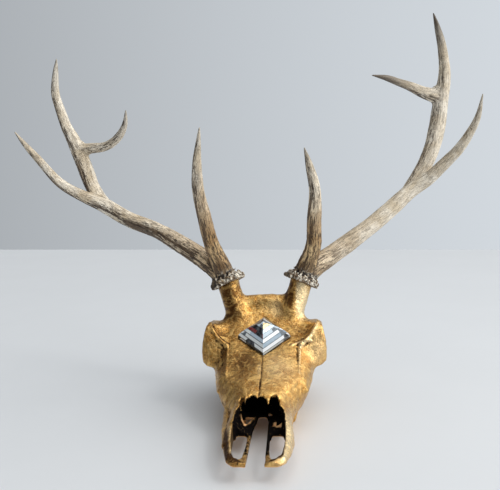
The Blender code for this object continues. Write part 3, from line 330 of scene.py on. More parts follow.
# Carved lines on the bone, for the right side where both sides have one
NASAL_SUTURE = [(-0.0005, 0.1500, 0.0655), (-0.0005, 0.1325, 0.0599), (-0.0003, 0.1212, 0.0563),
                (-0.0009, 0.1084, 0.0525), (-0.0012, 0.0968, 0.0485), (-0.0020, 0.0850, 0.0436)]
BROW_EDGE = [(0.0575, 0.1840, 0.0910), (0.0540, 0.1765, 0.0878), (0.0480, 0.1700, 0.0790),
             (0.0425, 0.1660, 0.0750), (0.0385, 0.1640, 0.0718)]
TEAR_LIP = [(0.0385, 0.1640, 0.0722), (0.0375, 0.1539, 0.0666), (0.0371, 0.1396, 0.0604),
            (0.0369, 0.1261, 0.0544)]
LEFT_SLIT = [(-0.0390, 0.1645, 0.0717), (-0.0393, 0.1560, 0.0675), (-0.0390, 0.1460, 0.0635),
             (-0.0383, 0.1370, 0.0595)]
RIGHT_SLIT = [(0.0340, 0.1600, 0.0697), (0.0346, 0.1534, 0.0668), (0.0352, 0.1450, 0.0630),
              (0.0357, 0.1350, 0.0588)]


def mirror_line(line):
    return [(-x, y, z) for x, y, z in line]


# Grooves of the skull: the line, then their depth, their width and how dark the dirt and painted
# shade in them is
GROOVES = [
    (LEFT_SLIT, 0.0028, 0.0010, 1.3), (RIGHT_SLIT, 0.0022, 0.0009, 1.2),
    ([(-0.0560, 0.1850, 0.0900), (-0.0526, 0.1768, 0.0879), (-0.0470, 0.1716, 0.0817),
      (-0.0409, 0.1671, 0.0760), (-0.0360, 0.1650, 0.0730)], 0.0012, 0.0010, 1.1),
    ([(-0.0296, 0.0615, 0.0259), (-0.0283, 0.0334, 0.0232), (-0.0255, 0.0123, 0.0199),
      (-0.0194, 0.0010, 0.0187), (-0.0125, -0.0006, 0.0178)], 0.0010, 0.0024, 2.4),
    ([(-0.0220, 0.0130, 0.0212), (-0.0200, 0.0081, 0.0211), (-0.0155, 0.0032, 0.0199),
      (-0.0106, 0.0022, 0.0183)], 0.0008, 0.0017, 3.0),
    ([(0.0215, 0.0140, 0.0212), (0.0192, 0.0082, 0.0210), (0.0147, 0.0042, 0.0195),
      (0.0092, 0.0030, 0.0179)], 0.0008, 0.0018, 3.0),
    ([(0.0222, 0.0560, 0.0270), (0.0220, 0.0330, 0.0230), (0.0212, 0.0170, 0.0211),
      (0.0194, 0.0092, 0.0211)], 0.0003, 0.0015, 3.0),
    ([(-0.0400, 0.1180, 0.0290), (-0.0375, 0.1060, 0.0270), (-0.0345, 0.0900, 0.0260)],
     0.0008, 0.0014, 1.2),
]
# Ridges of the skull: the line, then their height, their width and how bright the painted highlight
# along them is
RIDGES = [
    (BROW_EDGE, 0.0021, 0.0024, 1.1), (TEAR_LIP, 0.0013, 0.0015, 0.8),
    (mirror_line(BROW_EDGE), 0.0021, 0.0022, 0.1), (mirror_line(TEAR_LIP), 0.0013, 0.0015, 0.3),
    ([(0.0290, 0.1630, 0.0716), (0.0340, 0.1650, 0.0732), (0.0383, 0.1665, 0.0746),
      (0.0440, 0.1668, 0.0750), (0.0491, 0.1667, 0.0749)], 0.0011, 0.0013, 0.7),
    ([(-0.0257, 0.0504, 0.0289), (-0.0240, 0.0286, 0.0239), (-0.0208, 0.0074, 0.0208)],
     0.0006, 0.0010, 1.4),
    ([(0.0224, 0.0700, 0.0340), (0.0242, 0.0475, 0.0285), (0.0246, 0.0247, 0.0229),
      (0.0225, 0.0060, 0.0200)], 0.0006, 0.0013, 1.3),
    ([(-0.0230, 0.0860, 0.0370), (-0.0240, 0.0700, 0.0330), (-0.0250, 0.0560, 0.0295)],
     0.0005, 0.0010, 1.4),
]
# Hollows of the face: place, reach each way and depth
HOLLOWS = [
    ((-0.0452, 0.1500, 0.0640), (0.0060, 0.0170, 0.0130), 0.0030),
    ((-0.0420, 0.1780, 0.0850), (0.0100, 0.0110, 0.0120), 0.0034),
    ((0.0452, 0.1500, 0.0640), (0.0060, 0.0170, 0.0130), 0.0010),
    ((0.0420, 0.1780, 0.0850), (0.0100, 0.0110, 0.0120), 0.0034),
    ((-0.0270, 0.1300, 0.0560), (0.0110, 0.0330, 0.0120), 0.0022),
    ((0.0270, 0.1300, 0.0560), (0.0110, 0.0330, 0.0120), 0.0022),
]
# Small pit under the left eye: its place, its reach and that of the dirt and painted shade in it
# each way, and its depth
TEAR_PIT = (-0.0450, 0.1475, 0.0565)
PIT_REACH, PIT_DIRT_AND_SHADE_REACH, PIT_DEPTH = (0.0028, 0.0035, 0.0040), (0.0030, 0.0038, 0.0040), 0.0024
# The nasal suture's depth at its back end, how much deeper its front end is, and its width
SUTURE_DEPTH, SUTURE_DEEPENS, SUTURE_WIDTH = 0.0003, 0.0009, 0.0008
# Size and height of the bone's lumps and of its finer grain, and how much higher the grain is on the
# rougher bone round the pit, with the place of that bone and its reach each way
LUMP_SIZE, LUMP_HEIGHT = 0.014, 0.00050
FINE_SIZE, FINE_HEIGHT, FINE_EXTRA = 0.0040, 0.00016, 0.0005
ROUGH_BONE = ((-0.0450, 0.1480, 0.0620), (0.0100, 0.0240, 0.0180))
# Limits between which each of these sets in: the thin tips of the nasal bones, the filled corners
# between the forms of the skull, and the dirt and painted shade in small and in wide hollows
TIPS_ABOVE, TIPS_FROM, TIPS_TO = (0.034, 0.036), (0.064, 0.066), (0.097, 0.100)
FILL_ABOVE, FILL_FROM, FILL_TO = (0.030, 0.050), (0.110, 0.140), (0.225, 0.245)
SMALL_DIRT_AND_SHADE, WIDE_DIRT_AND_SHADE = (0.00004, 0.00030), (0.0006, 0.0030)

left_row_low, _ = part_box("left_tooth_row")
_, right_row_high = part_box("right_tooth_row")
HOME = Vector(((left_row_low.x + right_row_high.x) / 2, left_row_low.y - TOOTH_FRONT, 0.0))


# Mesh making


def add_object(name, mesh):
    thing = bpy.data.objects.new(name, mesh)
    bpy.context.scene.collection.objects.link(thing)
    return thing


def mesh_object(name, points, faces):
    """Object over points and faces, welded where points meet, its faces turned outwards."""
    mesh = bpy.data.meshes.new(name)
    mesh.from_pydata([tuple(p) for p in points], [], faces)
    form = bmesh.new()
    form.from_mesh(mesh)
    bmesh.ops.remove_doubles(form, verts=form.verts, dist=WELD)
    bmesh.ops.recalc_face_normals(form, faces=form.faces)
    form.to_mesh(mesh)
    form.free()
    return add_object(name, mesh)


def smooth_line(knots, t, closed=False):
    """Point at t (in knots) on the Catmull-Rom curve through the knots."""
    count = len(knots)
    spans = count if closed else count - 1
    i = min(int(t), spans - 1)
    u = t - i

    def knot(k):
        if closed:
            return np.array(knots[k % count], float)
        if k < 0:
            return 2 * np.array(knots[0], float) - np.array(knots[1], float)
        if k >= count:
            return 2 * np.array(knots[-1], float) - np.array(knots[-2], float)
        return np.array(knots[k], float)

    a, b, c, d = knot(i - 1), knot(i), knot(i + 1), knot(i + 2)
    return 0.5 * ((2 * b) + (c - a) * u + (2 * a - 5 * b + 4 * c - d) * u ** 2
                  + (3 * b - a - 3 * c + d) * u ** 3)


def skin_rings(name, rings):
    """Closed skin over rings of equally many points, each end closed by a fan."""
    sides = len(rings[0])
    points = [p for ring in rings for p in ring]
    faces = []
    for r in range(len(rings) - 1):
        for s in range(sides):
            n = (s + 1) % sides
            faces.append((r * sides + s, r * sides + n, (r + 1) * sides + n, (r + 1) * sides + s))
    for ring, order in ((0, -1), (len(rings) - 1, 1)):
        points.append(np.mean(np.array(rings[ring], float), axis=0))
        hub = len(points) - 1
        for s in range(sides):
            a, b = ring * sides + s, ring * sides + (s + 1) % sides
            faces.append((a, b, hub) if order > 0 else (b, a, hub))
    return mesh_object(name, points, faces)


def sampled_line(knots, step):
    """Points (x, y, z, radius) about a step apart on the smooth line through the knots."""
    knots = np.array(knots, float)
    spans = np.linalg.norm(np.diff(knots[:, :3], axis=0), axis=1)
    samples = []
    for i, span in enumerate(spans):
        parts = max(1, round(span / step))
        samples += [smooth_line(knots, i + k / parts) for k in range(parts)]
    samples.append(knots[-1])
    return np.array(samples)


def line_frames(places):
    """Side and up directions that follow a line without twisting, and its own direction.

    The first side direction lies across an axis that no line here starts along.
    """
    directions = np.gradient(np.array(places), axis=0)
    directions /= np.linalg.norm(directions, axis=1)[:, None]
    side = np.cross(directions[0], FREE_AXIS)
    side /= np.linalg.norm(side)
    frames = []
    for d in directions:
        side = side - d * np.dot(side, d)
        side /= np.linalg.norm(side)
        frames.append((side, np.cross(d, side), d))
    return frames


def round_angles(count):
    """Angles of equal steps round a circle."""
    return [2 * math.pi * s / count for s in range(count)]


def tube(name, knots, sides=20, flat=1.0):
    """Tapering tube along the knots (x, y, z, radius), drawn out across by the factor flat."""
    samples = sampled_line(knots, TUBE_STEP)
    rings = []
    for (x, y, z, radius), (side, up, _) in zip(samples, line_frames(samples[:, :3])):
        radius = max(radius, THINNEST)
        rings.append([np.array((x, y, z))
                      + radius * (math.cos(angle) * side + flat * math.sin(angle) * up)
                      for angle in round_angles(sides)])
    return skin_rings(name, rings)


def ball(name, place, radii):
    mesh = bpy.data.meshes.new(name)
    form = bmesh.new()
    matrix = Matrix.Translation(place) @ Matrix.Diagonal((*radii, 1.0))
    bmesh.ops.create_icosphere(form, subdivisions=3, radius=1.0, matrix=matrix)
    form.to_mesh(mesh)
    form.free()
    return add_object(name, mesh)


def prism(name, outline, thickness, place):
    """Plate over an outline; place turns an outline point (u, v) and a height w into space."""
    points = [place(u, v, w) for w in (-thickness / 2, thickness / 2) for u, v in outline]
    n = len(outline)
    faces = [tuple(range(n)), tuple(range(2 * n - 1, n - 1, -1))]
    faces += [(i, (i + 1) % n, n + (i + 1) % n, n + i) for i in range(n)]
    return mesh_object(name, points, faces)


def rectangle(left, front, right, back):
    return [(left, front), (right, front), (right, back), (left, back)]


def upright(name, outline, low, high):
    """Straight plate over an outline seen from above."""
    return prism(name, outline, high - low, lambda u, v, w: (u, v, w + (low + high) / 2))


def mirrored(thing, name):
    mesh = thing.data.copy()
    mesh.transform(Matrix.Diagonal((-1, 1, 1, 1)))
    mesh.flip_normals()
    return add_object(name, mesh)


def both_sides(things):
    return things + [mirrored(thing, thing.name + "_other") for thing in things]


def apply_modifiers(thing):
    depsgraph = bpy.context.evaluated_depsgraph_get()
    mesh = bpy.data.meshes.new_from_object(thing.evaluated_get(depsgraph))
    thing.modifiers.clear()
    thing.data = mesh
    return thing


def joined(name, things):
    """One object that holds the loose shells of all the things."""
    form = bmesh.new()
    for thing in things:
        form.from_mesh(thing.data)
        bpy.data.objects.remove(thing, do_unlink=True)
    mesh = bpy.data.meshes.new(name)
    form.to_mesh(mesh)
    form.free()
    return add_object(name, mesh)


def cut_away(thing, others):
    """Take all the others away from the thing at once; the others are used up."""
    group = bpy.data.collections.new("others")
    bpy.context.scene.collection.children.link(group)
    for other in others:
        group.objects.link(other)
    change = thing.modifiers.new("cut", "BOOLEAN")
    change.operation = "DIFFERENCE"
    change.solver = "MANIFOLD"
    change.operand_type = "COLLECTION"
    change.collection = group
    apply_modifiers(thing)
    for other in others:
        bpy.data.objects.remove(other, do_unlink=True)
    bpy.data.collections.remove(group)
    return thing


def fuse(thing, voxel):
    change = thing.modifiers.new("fuse", "REMESH")
    change.mode = "VOXEL"
    change.voxel_size = voxel
    return apply_modifiers(thing)


# Sculpting on plain arrays of vertices


class Clay:
    """Vertices of a fused form, with what the carving steps need to know about them."""

    def __init__(self, thing):
        self.thing = thing
        mesh = thing.data
        self.count = len(mesh.vertices)
        self.places = np.empty(self.count * 3)
        mesh.vertices.foreach_get("co", self.places)
        self.places = self.places.reshape(-1, 3)
        self.edges = np.empty(len(mesh.edges) * 2, int)
        mesh.edges.foreach_get("vertices", self.edges)
        self.edges = self.edges.reshape(-1, 2)
        self.degree = np.bincount(self.edges.ravel(), minlength=self.count)[:, None]
        self.renew()

    def renew(self):
        mesh = self.thing.data
        mesh.vertices.foreach_set("co", self.places.ravel())
        mesh.update()
        normals = np.empty(self.count * 3)
        mesh.vertices.foreach_get("normal", normals)
        self.normals = normals.reshape(-1, 3)

    def spread(self, values):
        """Mean of each vertex's neighbours."""
        first, second = self.edges.T
        total = np.zeros_like(values)
        for axis in range(values.shape[1]):
            for here, there in ((first, second), (second, first)):
                total[:, axis] += np.bincount(here, values[there, axis], self.count)
        return total / np.maximum(self.degree, 1)

    def relax(self, rounds, where=1.0):
        """Even out the surface without shrinking it, by steps in and out."""
        for _ in range(rounds):
            for factor in (0.5, -0.52):
                self.places += factor * where * (self.spread(self.places) - self.places)
        self.renew()

    def fill_creases(self, rounds, where):
        """Fill the sharp inner corners between forms where the mask says so."""
        for number in range(rounds):
            if number % 4 == 0:
                self.renew()
            lift = ((self.spread(self.places) - self.places) * self.normals).sum(axis=1)
            self.push(0.8 * np.maximum(lift, 0) * where)
        self.renew()

    def push(self, amount):
        """Move each vertex outwards by its amount."""
        self.places += self.normals * amount[:, None]

    def hollowness(self, rounds):
        """How far each vertex lies below its surroundings, in metres."""
        blurred = self.places
        for _ in range(rounds):
            blurred = self.spread(blurred)
        return ((blurred - self.places) * self.normals).sum(axis=1)

    def note(self, name, values):
        """Keep values on the mesh, one number for each vertex."""
        layer = self.thing.data.attributes.new(name, "FLOAT", "POINT")
        layer.data.foreach_set("value", np.asarray(values, np.float32))


def off_line(places, line):
    """Distance of each place from the line through the given points, and the share along it."""
    points = np.array(line, float)
    lengths = np.linalg.norm(np.diff(points, axis=0), axis=1)
    starts = np.concatenate([[0], np.cumsum(lengths)])
    best = np.full(len(places), 1.0)
    share = np.zeros(len(places))
    for i, length in enumerate(lengths):
        d = points[i + 1] - points[i]
        t = np.clip((places - points[i]) @ d / (length * length), 0, 1)
        gap = np.linalg.norm(places - points[i] - t[:, None] * d, axis=1)
        nearer = gap < best
        best = np.where(nearer, gap, best)
        share = np.where(nearer, (starts[i] + t * length) / starts[-1], share)
    return best, share


def bell(gap, width):
    """1 where the gap is 0, falling away over the width."""
    return np.exp(-(gap / width) ** 2)


def step_up(value, low, high):
    """Number that rises smoothly from 0 to 1 as the value goes from low to high."""
    t = np.clip((value - low) / (high - low), 0, 1)
    return t * t * (3 - 2 * t)


def rough(places, size, depth=3):
    """Lumpy noise between about -1 and 1 with features of the given size."""
    return np.array([noise.fractal(Vector(p) / size, 1.0, 2.0, depth) for p in places])


# Skull


def skull_section(y, roof, shoulder, side, low, floor, count=56):
    """Ring of the skull at one station, from one row of the table of sections."""
    half = [(0.0, roof), shoulder, side, low, (0.0, floor)]
    loop = half + [(-x, z) for x, z in half[-2:0:-1]]
    trim = 1 - RIGHT_TRIM * math.exp(-((y - TRIM_MIDDLE) / TRIM_REACH) ** 2)
    ring = []
    for i in range(count):
        x, z = smooth_line(loop, i * len(loop) / count, closed=True)
        ring.append((x * trim if x > 0 and z < TRIM_TOP else x, y, z))
    return ring


# Corners of the bone round the right eye socket, and of the cheek bone that runs forward from it
ORBIT = [
    (0.0385, 0.1640, 0.0708), (0.0425, 0.1664, 0.0752), (0.0480, 0.1695, 0.0800),
    (0.0540, 0.1755, 0.0875), (0.0568, 0.1820, 0.0912), (0.0606, 0.1765, 0.0898),
    (0.0560, 0.2050, 0.0890), (0.0450, 0.2050, 0.0885), (0.0460, 0.1900, 0.0885),
    (0.0630, 0.1715, 0.0812), (0.0643, 0.1700, 0.0740), (0.0648, 0.1695, 0.0667),
    (0.0648, 0.1690, 0.0562), (0.0640, 0.1685, 0.0528), (0.0594, 0.1650, 0.0494),
    (0.0541, 0.1610, 0.0490), (0.0485, 0.1560, 0.0500), (0.0610, 0.2115, 0.0850),
    (0.0642, 0.2135, 0.0700), (0.0640, 0.2125, 0.0560), (0.0600, 0.2085, 0.0480),
    (0.0200, 0.2050, 0.0450), (0.0200, 0.2050, 0.0850), (0.0200, 0.1700, 0.0500),
    (0.0200, 0.1700, 0.0700),
]
CHEEK = [
    (0.0365, 0.1220, 0.0520), (0.0370, 0.1400, 0.0585), (0.0380, 0.1640, 0.0690),
    (0.0472, 0.1320, 0.0370), (0.0490, 0.1480, 0.0430), (0.0505, 0.1600, 0.0480),
    (0.0450, 0.1180, 0.0360), (0.0490, 0.1700, 0.0450), (0.0540, 0.1800, 0.0480),
    (0.0200, 0.1250, 0.0350), (0.0200, 0.1800, 0.0400), (0.0200, 0.1800, 0.0650),
]
# Bone between the pedicles, and the fuller left side of the face: x, y, z and radius
CROWN = [(-0.0300, 0.2125, 0.1060, 0.0080), (0.0, 0.2130, 0.1068, 0.0085),
         (0.0300, 0.2125, 0.1060, 0.0080)]
LEFT_SWELL = [(-0.0270, 0.0300, 0.0190, 0.0040), (-0.0290, 0.0520, 0.0195, 0.0045),
              (-0.0308, 0.0750, 0.0205, 0.0048), (-0.0312, 0.0920, 0.0230, 0.0048),
              (-0.0330, 0.1080, 0.0290, 0.0040)]
# The right eye socket
SOCKET_PLACE, SOCKET_RADII = (0.0730, 0.1930, 0.0675), (0.0340, 0.0186, 0.0172)


def hull(name, corners):
    """Smallest convex body round the corners."""
    form = bmesh.new()
    for corner in corners:
        form.verts.new(corner)
    made = bmesh.ops.convex_hull(form, input=form.verts)
    bmesh.ops.delete(form, geom=made["geom_interior"], context="VERTS")
    bmesh.ops.recalc_face_normals(form, faces=form.faces)
    mesh = bpy.data.meshes.new(name)
    form.to_mesh(mesh)
    form.free()
    return add_object(name, mesh)


def bone_forms():
    """The right-hand forms that grow from the core."""
    return [
        hull("orbit", ORBIT),
        hull("cheek", CHEEK),
        ball("pedicle_root", (0.0260, 0.2130, 0.0960), (0.0150, 0.0150, 0.0150)),
        tube("arch", [(0.0600, 0.204, 0.0500, 0.0050), (0.0605, 0.218, 0.0500, 0.0045),
                      (0.0560, 0.234, 0.0530, 0.0045), (0.0440, 0.246, 0.0580, 0.0055),
                      (0.0300, 0.250, 0.0600, 0.0060)]),
        tube("pedicle", PEDICLE, sides=32),
        ball("condyle", (0.0130, 0.2620, 0.0400), (0.0090, 0.0090, 0.0120)),
        tube("process", [(0.0330, 0.2480, 0.0500, 0.0085), (0.0320, 0.2500, 0.0340, 0.0075),
                         (0.0305, 0.2510, 0.0170, 0.0052), (0.0290, 0.2510, -0.0050, 0.0040)],
             flat=1.4),
        ball("ear_capsule", (0.0215, 0.2350, 0.0330), (0.0070, 0.0110, 0.0085)),
        ball("throat_wing", (0.0130, 0.1880, 0.0220), (0.0022, 0.0180, 0.0110)),
        tube("nape_crest", [(0.0400, 0.2480, 0.0560, 0.0035), (0.0370, 0.2510, 0.0660, 0.0042),
                            (0.0290, 0.2535, 0.0780, 0.0042), (0.0150, 0.2540, 0.0865, 0.0042),
                            (-0.0040, 0.2540, 0.0895, 0.0042)]),
    ]


def squared(value, power):
    """A sine or cosine drawn out towards 1, which makes a round section squarer."""
    return math.copysign(abs(value) ** power, value)


def nose_cavity():
    rings = []
    for y, wide, narrow, floor, roof in NOSE_SECTIONS:
        middle = (floor + roof) / 2
        ring = []
        for angle in round_angles(40):
            rise = squared(math.sin(angle), 0.7)
            half = wide + (narrow - wide) * (1 + rise) / 2
            across = half * squared(math.cos(angle), 0.6)
            ring.append((across, y, middle + (roof - floor) / 2 * rise))
        rings.append(ring)
    return skin_rings("nose_cavity", rings)


def middle_hollows():
    """Nose, gap between the premaxillae, slots, breaks in the palate, vault and spinal opening."""
    slots = []
    for side, extra in ((-1, 0.0), (1, RIGHT_SLOT_EXTRA)):
        outline = [(side * (u - extra * (SLOT_OUTER - u) / SLOT_WIDTH), v) for u, v in SLOT]
        slots.append(upright("slot", outline, *SLOT_CUT))
        shelf = [(side * u, v) for u, v in UNDER_SHELF]
        slots.append(upright("under_shelf", shelf, *UNDER_CUT))
    cuts = slots + [nose_cavity(),
                    upright("fringe", NASAL_FRINGE + FRINGE_FRONT, *FRINGE_CUT),
                    upright("gap", MIDDLE_GAP, *GAP_CUT)]
    cuts += [upright(name, outline, *BREAK_CUT) for name, outline in PALATE_BREAKS.items()]
    return cuts + [ball("palate_vault", (0, 0.138, 0.0100), (0.0160, 0.050, 0.0075)),
                   ball("spinal_opening", (0, 0.2640, 0.0500), (0.0085, 0.0180, 0.0085))]


def around(places, middle, reach):
    """1 at the middle, falling away over the reach given for each axis."""
    return np.exp(-(((places - np.array(middle)) / reach) ** 2).sum(axis=1))


def carve_skull(clay):
    """Ridges, slits, sutures and the uneven skin of the bone; the thin tips are smoothed less."""
    y, z = clay.places[:, 1], clay.places[:, 2]
    tips = step_up(z, *TIPS_ABOVE) * step_up(y, *TIPS_FROM) * (1 - step_up(y, *TIPS_TO))
    clay.relax(3, (1 - 0.8 * tips)[:, None])
    places = clay.places.copy()
    change = np.zeros(clay.count)
    for line, rise, width, _ in RIDGES:
        change += rise * bell(off_line(places, line)[0], width)
    for line, depth, width, _ in GROOVES:
        gap, share = off_line(places, line)
        change -= depth * bell(gap, width) * np.sin(math.pi * np.clip(share, 0.08, 0.92))
    for place, reach, depth in HOLLOWS:
        change -= depth * around(places, place, reach)
    gap, share = off_line(places, NASAL_SUTURE)
    change -= (SUTURE_DEPTH + SUTURE_DEEPENS * share) * bell(gap, SUTURE_WIDTH)
    change -= PIT_DEPTH * around(places, TEAR_PIT, PIT_REACH)
    outside = 1 - paint_mask(clay)
    change += LUMP_HEIGHT * rough(places, LUMP_SIZE) * outside
    fine = FINE_HEIGHT + FINE_EXTRA * around(places, *ROUGH_BONE)
    change += fine * rough(places, FINE_SIZE) * outside
    clay.push(change)
    clay.renew()


def among(value, limits):
    """True where the value lies between the two limits."""
    return (value > limits[0]) & (value < limits[1])


def paint_mask(clay):
    """1 where the nose is painted black: its walls and floor, and worn on the two inner bars."""
    x, y, z = clay.places.T
    table = np.array(NOSE_SECTIONS)
    floor = np.interp(y, table[:, 0], table[:, 3])
    roof = np.interp(y, table[:, 0], np.minimum(table[:, 4], PAINT_TOP))
    rise = np.clip((z - floor) / (roof - floor), 0, 1)
    half = (np.interp(y, table[:, 0], table[:, 1]) * (1 - rise)
            + np.interp(y, table[:, 0], table[:, 2]) * rise)
    to_middle = np.stack([-x, np.zeros_like(x), (floor + roof) / 2 - z], axis=1)
    to_middle /= np.linalg.norm(to_middle, axis=1)[:, None]
    inward = (to_middle * clay.normals).sum(axis=1)
    ragged = rough(clay.places, 0.0035) * 0.0016
    off_middle = np.abs(x)
    low_enough, high_enough = z < roof + 0.0020, z > PAINT_BOTTOM + 0.5 * ragged
    near = (off_middle < half + 0.0012 + ragged) & high_enough & low_enough
    facing = (inward > 0.20) | ((y > 0.120) & (clay.normals[:, 1] < -0.5)) | (z < 0.0185)
    depth = step_up(y + ragged, NOSE_FRONT - 0.0012, NOSE_FRONT) * (y < PAINT_BACK)
    rim = step_up(roof - 0.0008 + ragged - z, 0.0, 0.0010)
    walls = (near & facing) * depth * np.where(y < RIM_BACK, rim, 1.0)
    shelf = (off_middle < SHELF_HALF) & (y < SHELF_BACK) & among(z, SHELF_HEIGHT)
    shelf = shelf * step_up(y + ragged, *SHELF_FRONT)
    inner = (off_middle < BAR_HALF) & (y < NOSE_FRONT + 0.006) & among(z, BAR_HEIGHT)
    worn = step_up(rough(clay.places, 0.0030) + np.where(x > 0, *BAR_WEAR), 0.0, 0.12)
    bars = inner * step_up(y, *BAR_FRONT) * worn
    slot_wall = among(off_middle, SLOT_WALL_ACROSS) & among(y, SLOT_WALL_ALONG)
    slot_wall = slot_wall & (clay.normals[:, 0] * np.sign(x) < -0.45)
    top = SLOT_WALL_TOP + SLOT_WALL_RISE * (y - SLOT_WALL_ALONG[0])
    slot_wall = slot_wall * step_up(top - z, 0.0, 0.0010)
    return np.clip(np.maximum(walls, shelf) + bars + 0.85 * slot_wall, 0, 1)


def inside(places, corners):
    """1 where a place seen from above lies within the corners, with ragged edges.

    The corners go round anticlockwise.
    """
    ragged = rough(places, 0.0030) * 0.0010
    within = np.ones(len(places))
    for (ax, ay), (bx, by) in zip(corners, corners[1:] + corners[:1]):
        reach = math.hypot(bx - ax, by - ay)
        gap = ((bx - ax) * (places[:, 1] - ay) - (by - ay) * (places[:, 0] - ax)) / reach
        within *= step_up(gap + ragged, 0.0, 0.0006)
    return within


def skull_core():
    """The skull in the round, with everything that grows from it, before its hollows are cut."""
    core = skin_rings("core", [skull_section(*section) for section in SKULL_SECTIONS])
    skull = joined("gilded_skull", [core, tube("crown", CROWN), tube("left_swell", LEFT_SWELL)]
                   + both_sides(bone_forms()))
    fuse(skull, BONE_VOXEL)
    clay = Clay(skull)
    clay.relax(2)
    y, z = clay.places[:, 1], clay.places[:, 2]
    behind_face = step_up(y, *FILL_FROM) * step_up(z, *FILL_ABOVE)
    clay.fill_creases(70, behind_face * (1 - step_up(y, *FILL_TO)))
    return skull


def fitting_cuts():
    """What makes room for the floor, the tooth rows, the crystal and the antlers' burrs."""
    block = upright("below_floor", rectangle(-0.1, -0.1, 0.1, 0.3), -0.05, 0.0)
    gum = prism("gum", rectangle(*GUM_AREA), CUT_DEPTH,
                lambda u, v, w: (u, v, w - CUT_DEPTH / 2 + TOOTH_HEIGHT))
    matrix = crystal_matrix()
    half = CRYSTAL_SIDE / 2 + PARTING
    bed = prism("bed", rectangle(-half, -half, half, half), CUT_DEPTH,
                lambda u, v, w: matrix @ Vector((u, v, w + CUT_DEPTH / 2 - PARTING)))
    seats = []
    for sign in SIGN.values():
        centre, axis, turn = burr_place(sign)
        seat = centre - axis * SEAT_DEPTH
        seats.append(prism("seat", rectangle(-0.03, -0.03, 0.03, 0.03), SEAT_ROOM,
                           lambda u, v, w: seat + turn @ Vector((u, v, w + SEAT_ROOM / 2))))
    return [block, gum, bed] + seats


def burr_place(sign):
    """Middle and axis of an antler's burr, and the matrix that turns Z into the axis."""
    mirror = Vector((sign, 1, 1))
    axis = BURR_AXIS * mirror
    return BURR_CENTRE * mirror, axis, axis.to_track_quat("Z", "Y").to_matrix()


def note_dirt(clay):
    """How dark the hollows, grooves, sutures and pit of the bone are, with umber dirt and painted
    shade.
    """
    small, wide = clay.hollowness(6), clay.hollowness(40)
    dark = step_up(small, *SMALL_DIRT_AND_SHADE) + 0.7 * step_up(wide, *WIDE_DIRT_AND_SHADE)
    for line, _, width, shade in GROOVES:
        gap, share = off_line(clay.places, line)
        dark += shade * bell(gap, width) * np.sin(math.pi * np.clip(share, 0.05, 0.95))
    dark += 1.3 * around(clay.places, TEAR_PIT, PIT_DIRT_AND_SHADE_REACH)
    gap, share = off_line(clay.places, NASAL_SUTURE)
    dark += (0.10 + 1.0 * share) * bell(gap, 0.0007)
    dark *= 1 - 0.6 * around(clay.places, *SMOOTH_PLATE)
    clay.note("dirt_and_painted_shade", np.clip(dark, 0, 1.5))


def note_bare_and_painted(clay):
    """Where the palate's bone is bare, and where the nose is painted black."""
    z, facing_up = clay.places[:, 2], clay.normals[:, 2]
    bone = np.zeros(clay.count)
    # Bare patches in the breaks, whose tan is also painted bounced light
    for corners in BARE_AND_BOUNCE_PATCHES:
        bone = np.maximum(bone, inside(clay.places, corners) * (z < 0.0250) * (facing_up > -0.9))
    below = step_up(-facing_up, 0.20, 0.60) * (z < 0.0300)
    bone = np.maximum(bone, below * (np.abs(clay.places[:, 0]) < 0.0300))
    clay.note("bone", bone)
    clay.note("paint", paint_mask(clay) * (1 - bone))


def note_gilding(clay):
    """Tone of the leaf with its patina, painted shade and painted highlights, and how strongly the
    brush strokes show in it.
    """
    # Painted shade on the sides that face left, then patches of patina, painted shade and painted
    # highlight
    tone = 0.22 * step_up(-clay.normals[:, 0], 0.0, 0.8)
    for place, reach, amount in TONES_AND_PAINTED_LIGHT:
        tone += amount * around(clay.places, place, reach)
    # Painted highlights along the ridges
    for line, _, width, highlight_strength in RIDGES:
        tone -= highlight_strength * bell(off_line(clay.places, line)[0], width)
    strokes = 0.35 + 0.65 * step_up(clay.places[:, 2], 0.052, 0.075)
    strokes += 0.4 * (clay.places[:, 0] < 0)
    strokes *= 1 - 0.85 * around(clay.places, *SMOOTH_PLATE)
    clay.note("strokes", np.clip(strokes, 0, 1))
    clay.note("patina_and_painted_shade", np.clip(tone, 0, 1))
    clay.note("painted_highlight", np.clip(-tone, 0, 1))


def make_skull():
    skull = skull_core()
    socket = ball("socket", SOCKET_PLACE, SOCKET_RADII)
    cut_away(skull, both_sides([socket]) + middle_hollows())
    cut_away(skull, fitting_cuts())
    fuse(skull, BONE_VOXEL)
    clay = Clay(skull)
    carve_skull(clay)
    note_dirt(clay)
    note_bare_and_painted(clay)
    note_gilding(clay)
    return finish_piece(skull)


def finish_piece(thing):
    """Move a piece into the model's frame; fine relief stays inside the model's own box."""
    mesh = thing.data
    mesh.transform(Matrix.Translation(HOME))
    places = np.empty(len(mesh.vertices) * 3)
    mesh.vertices.foreach_get("co", places)
    held = np.clip(places.reshape(-1, 3), np.array(cad_low) + BOX_MARGIN,
                   np.array(cad_high) - BOX_MARGIN)
    mesh.vertices.foreach_set("co", held.ravel())
    mesh.shade_smooth()
    return thing


def make_teeth(side):
    """Six worn cheek teeth, each with two ribbed lobes, on the skull's gum line."""
    crowns = []
    for y, x, length, width in TEETH:
        rings = []
        for z, grow in TOOTH_RINGS:
            middle = x - TOOTH_LEAN * (1 - z / TOOTH_HEIGHT)
            ring = []
            for angle in round_angles(40):
                across, along = squared(math.cos(angle), 0.6), squared(math.sin(angle), 0.6)
                lobe = 1.0 - 0.07 * bell(math.sin(angle), 0.22) + 0.02 * math.cos(6 * angle)
                ring.append((SIGN[side] * (middle + width / 2 * grow * lobe * across),
                             y + length / 2 * grow * along, z))
            rings.append(ring)
        crowns.append(skin_rings("crown", rings))
    return finish_piece(joined(side + "_cheek_teeth", crowns))


# Antlers


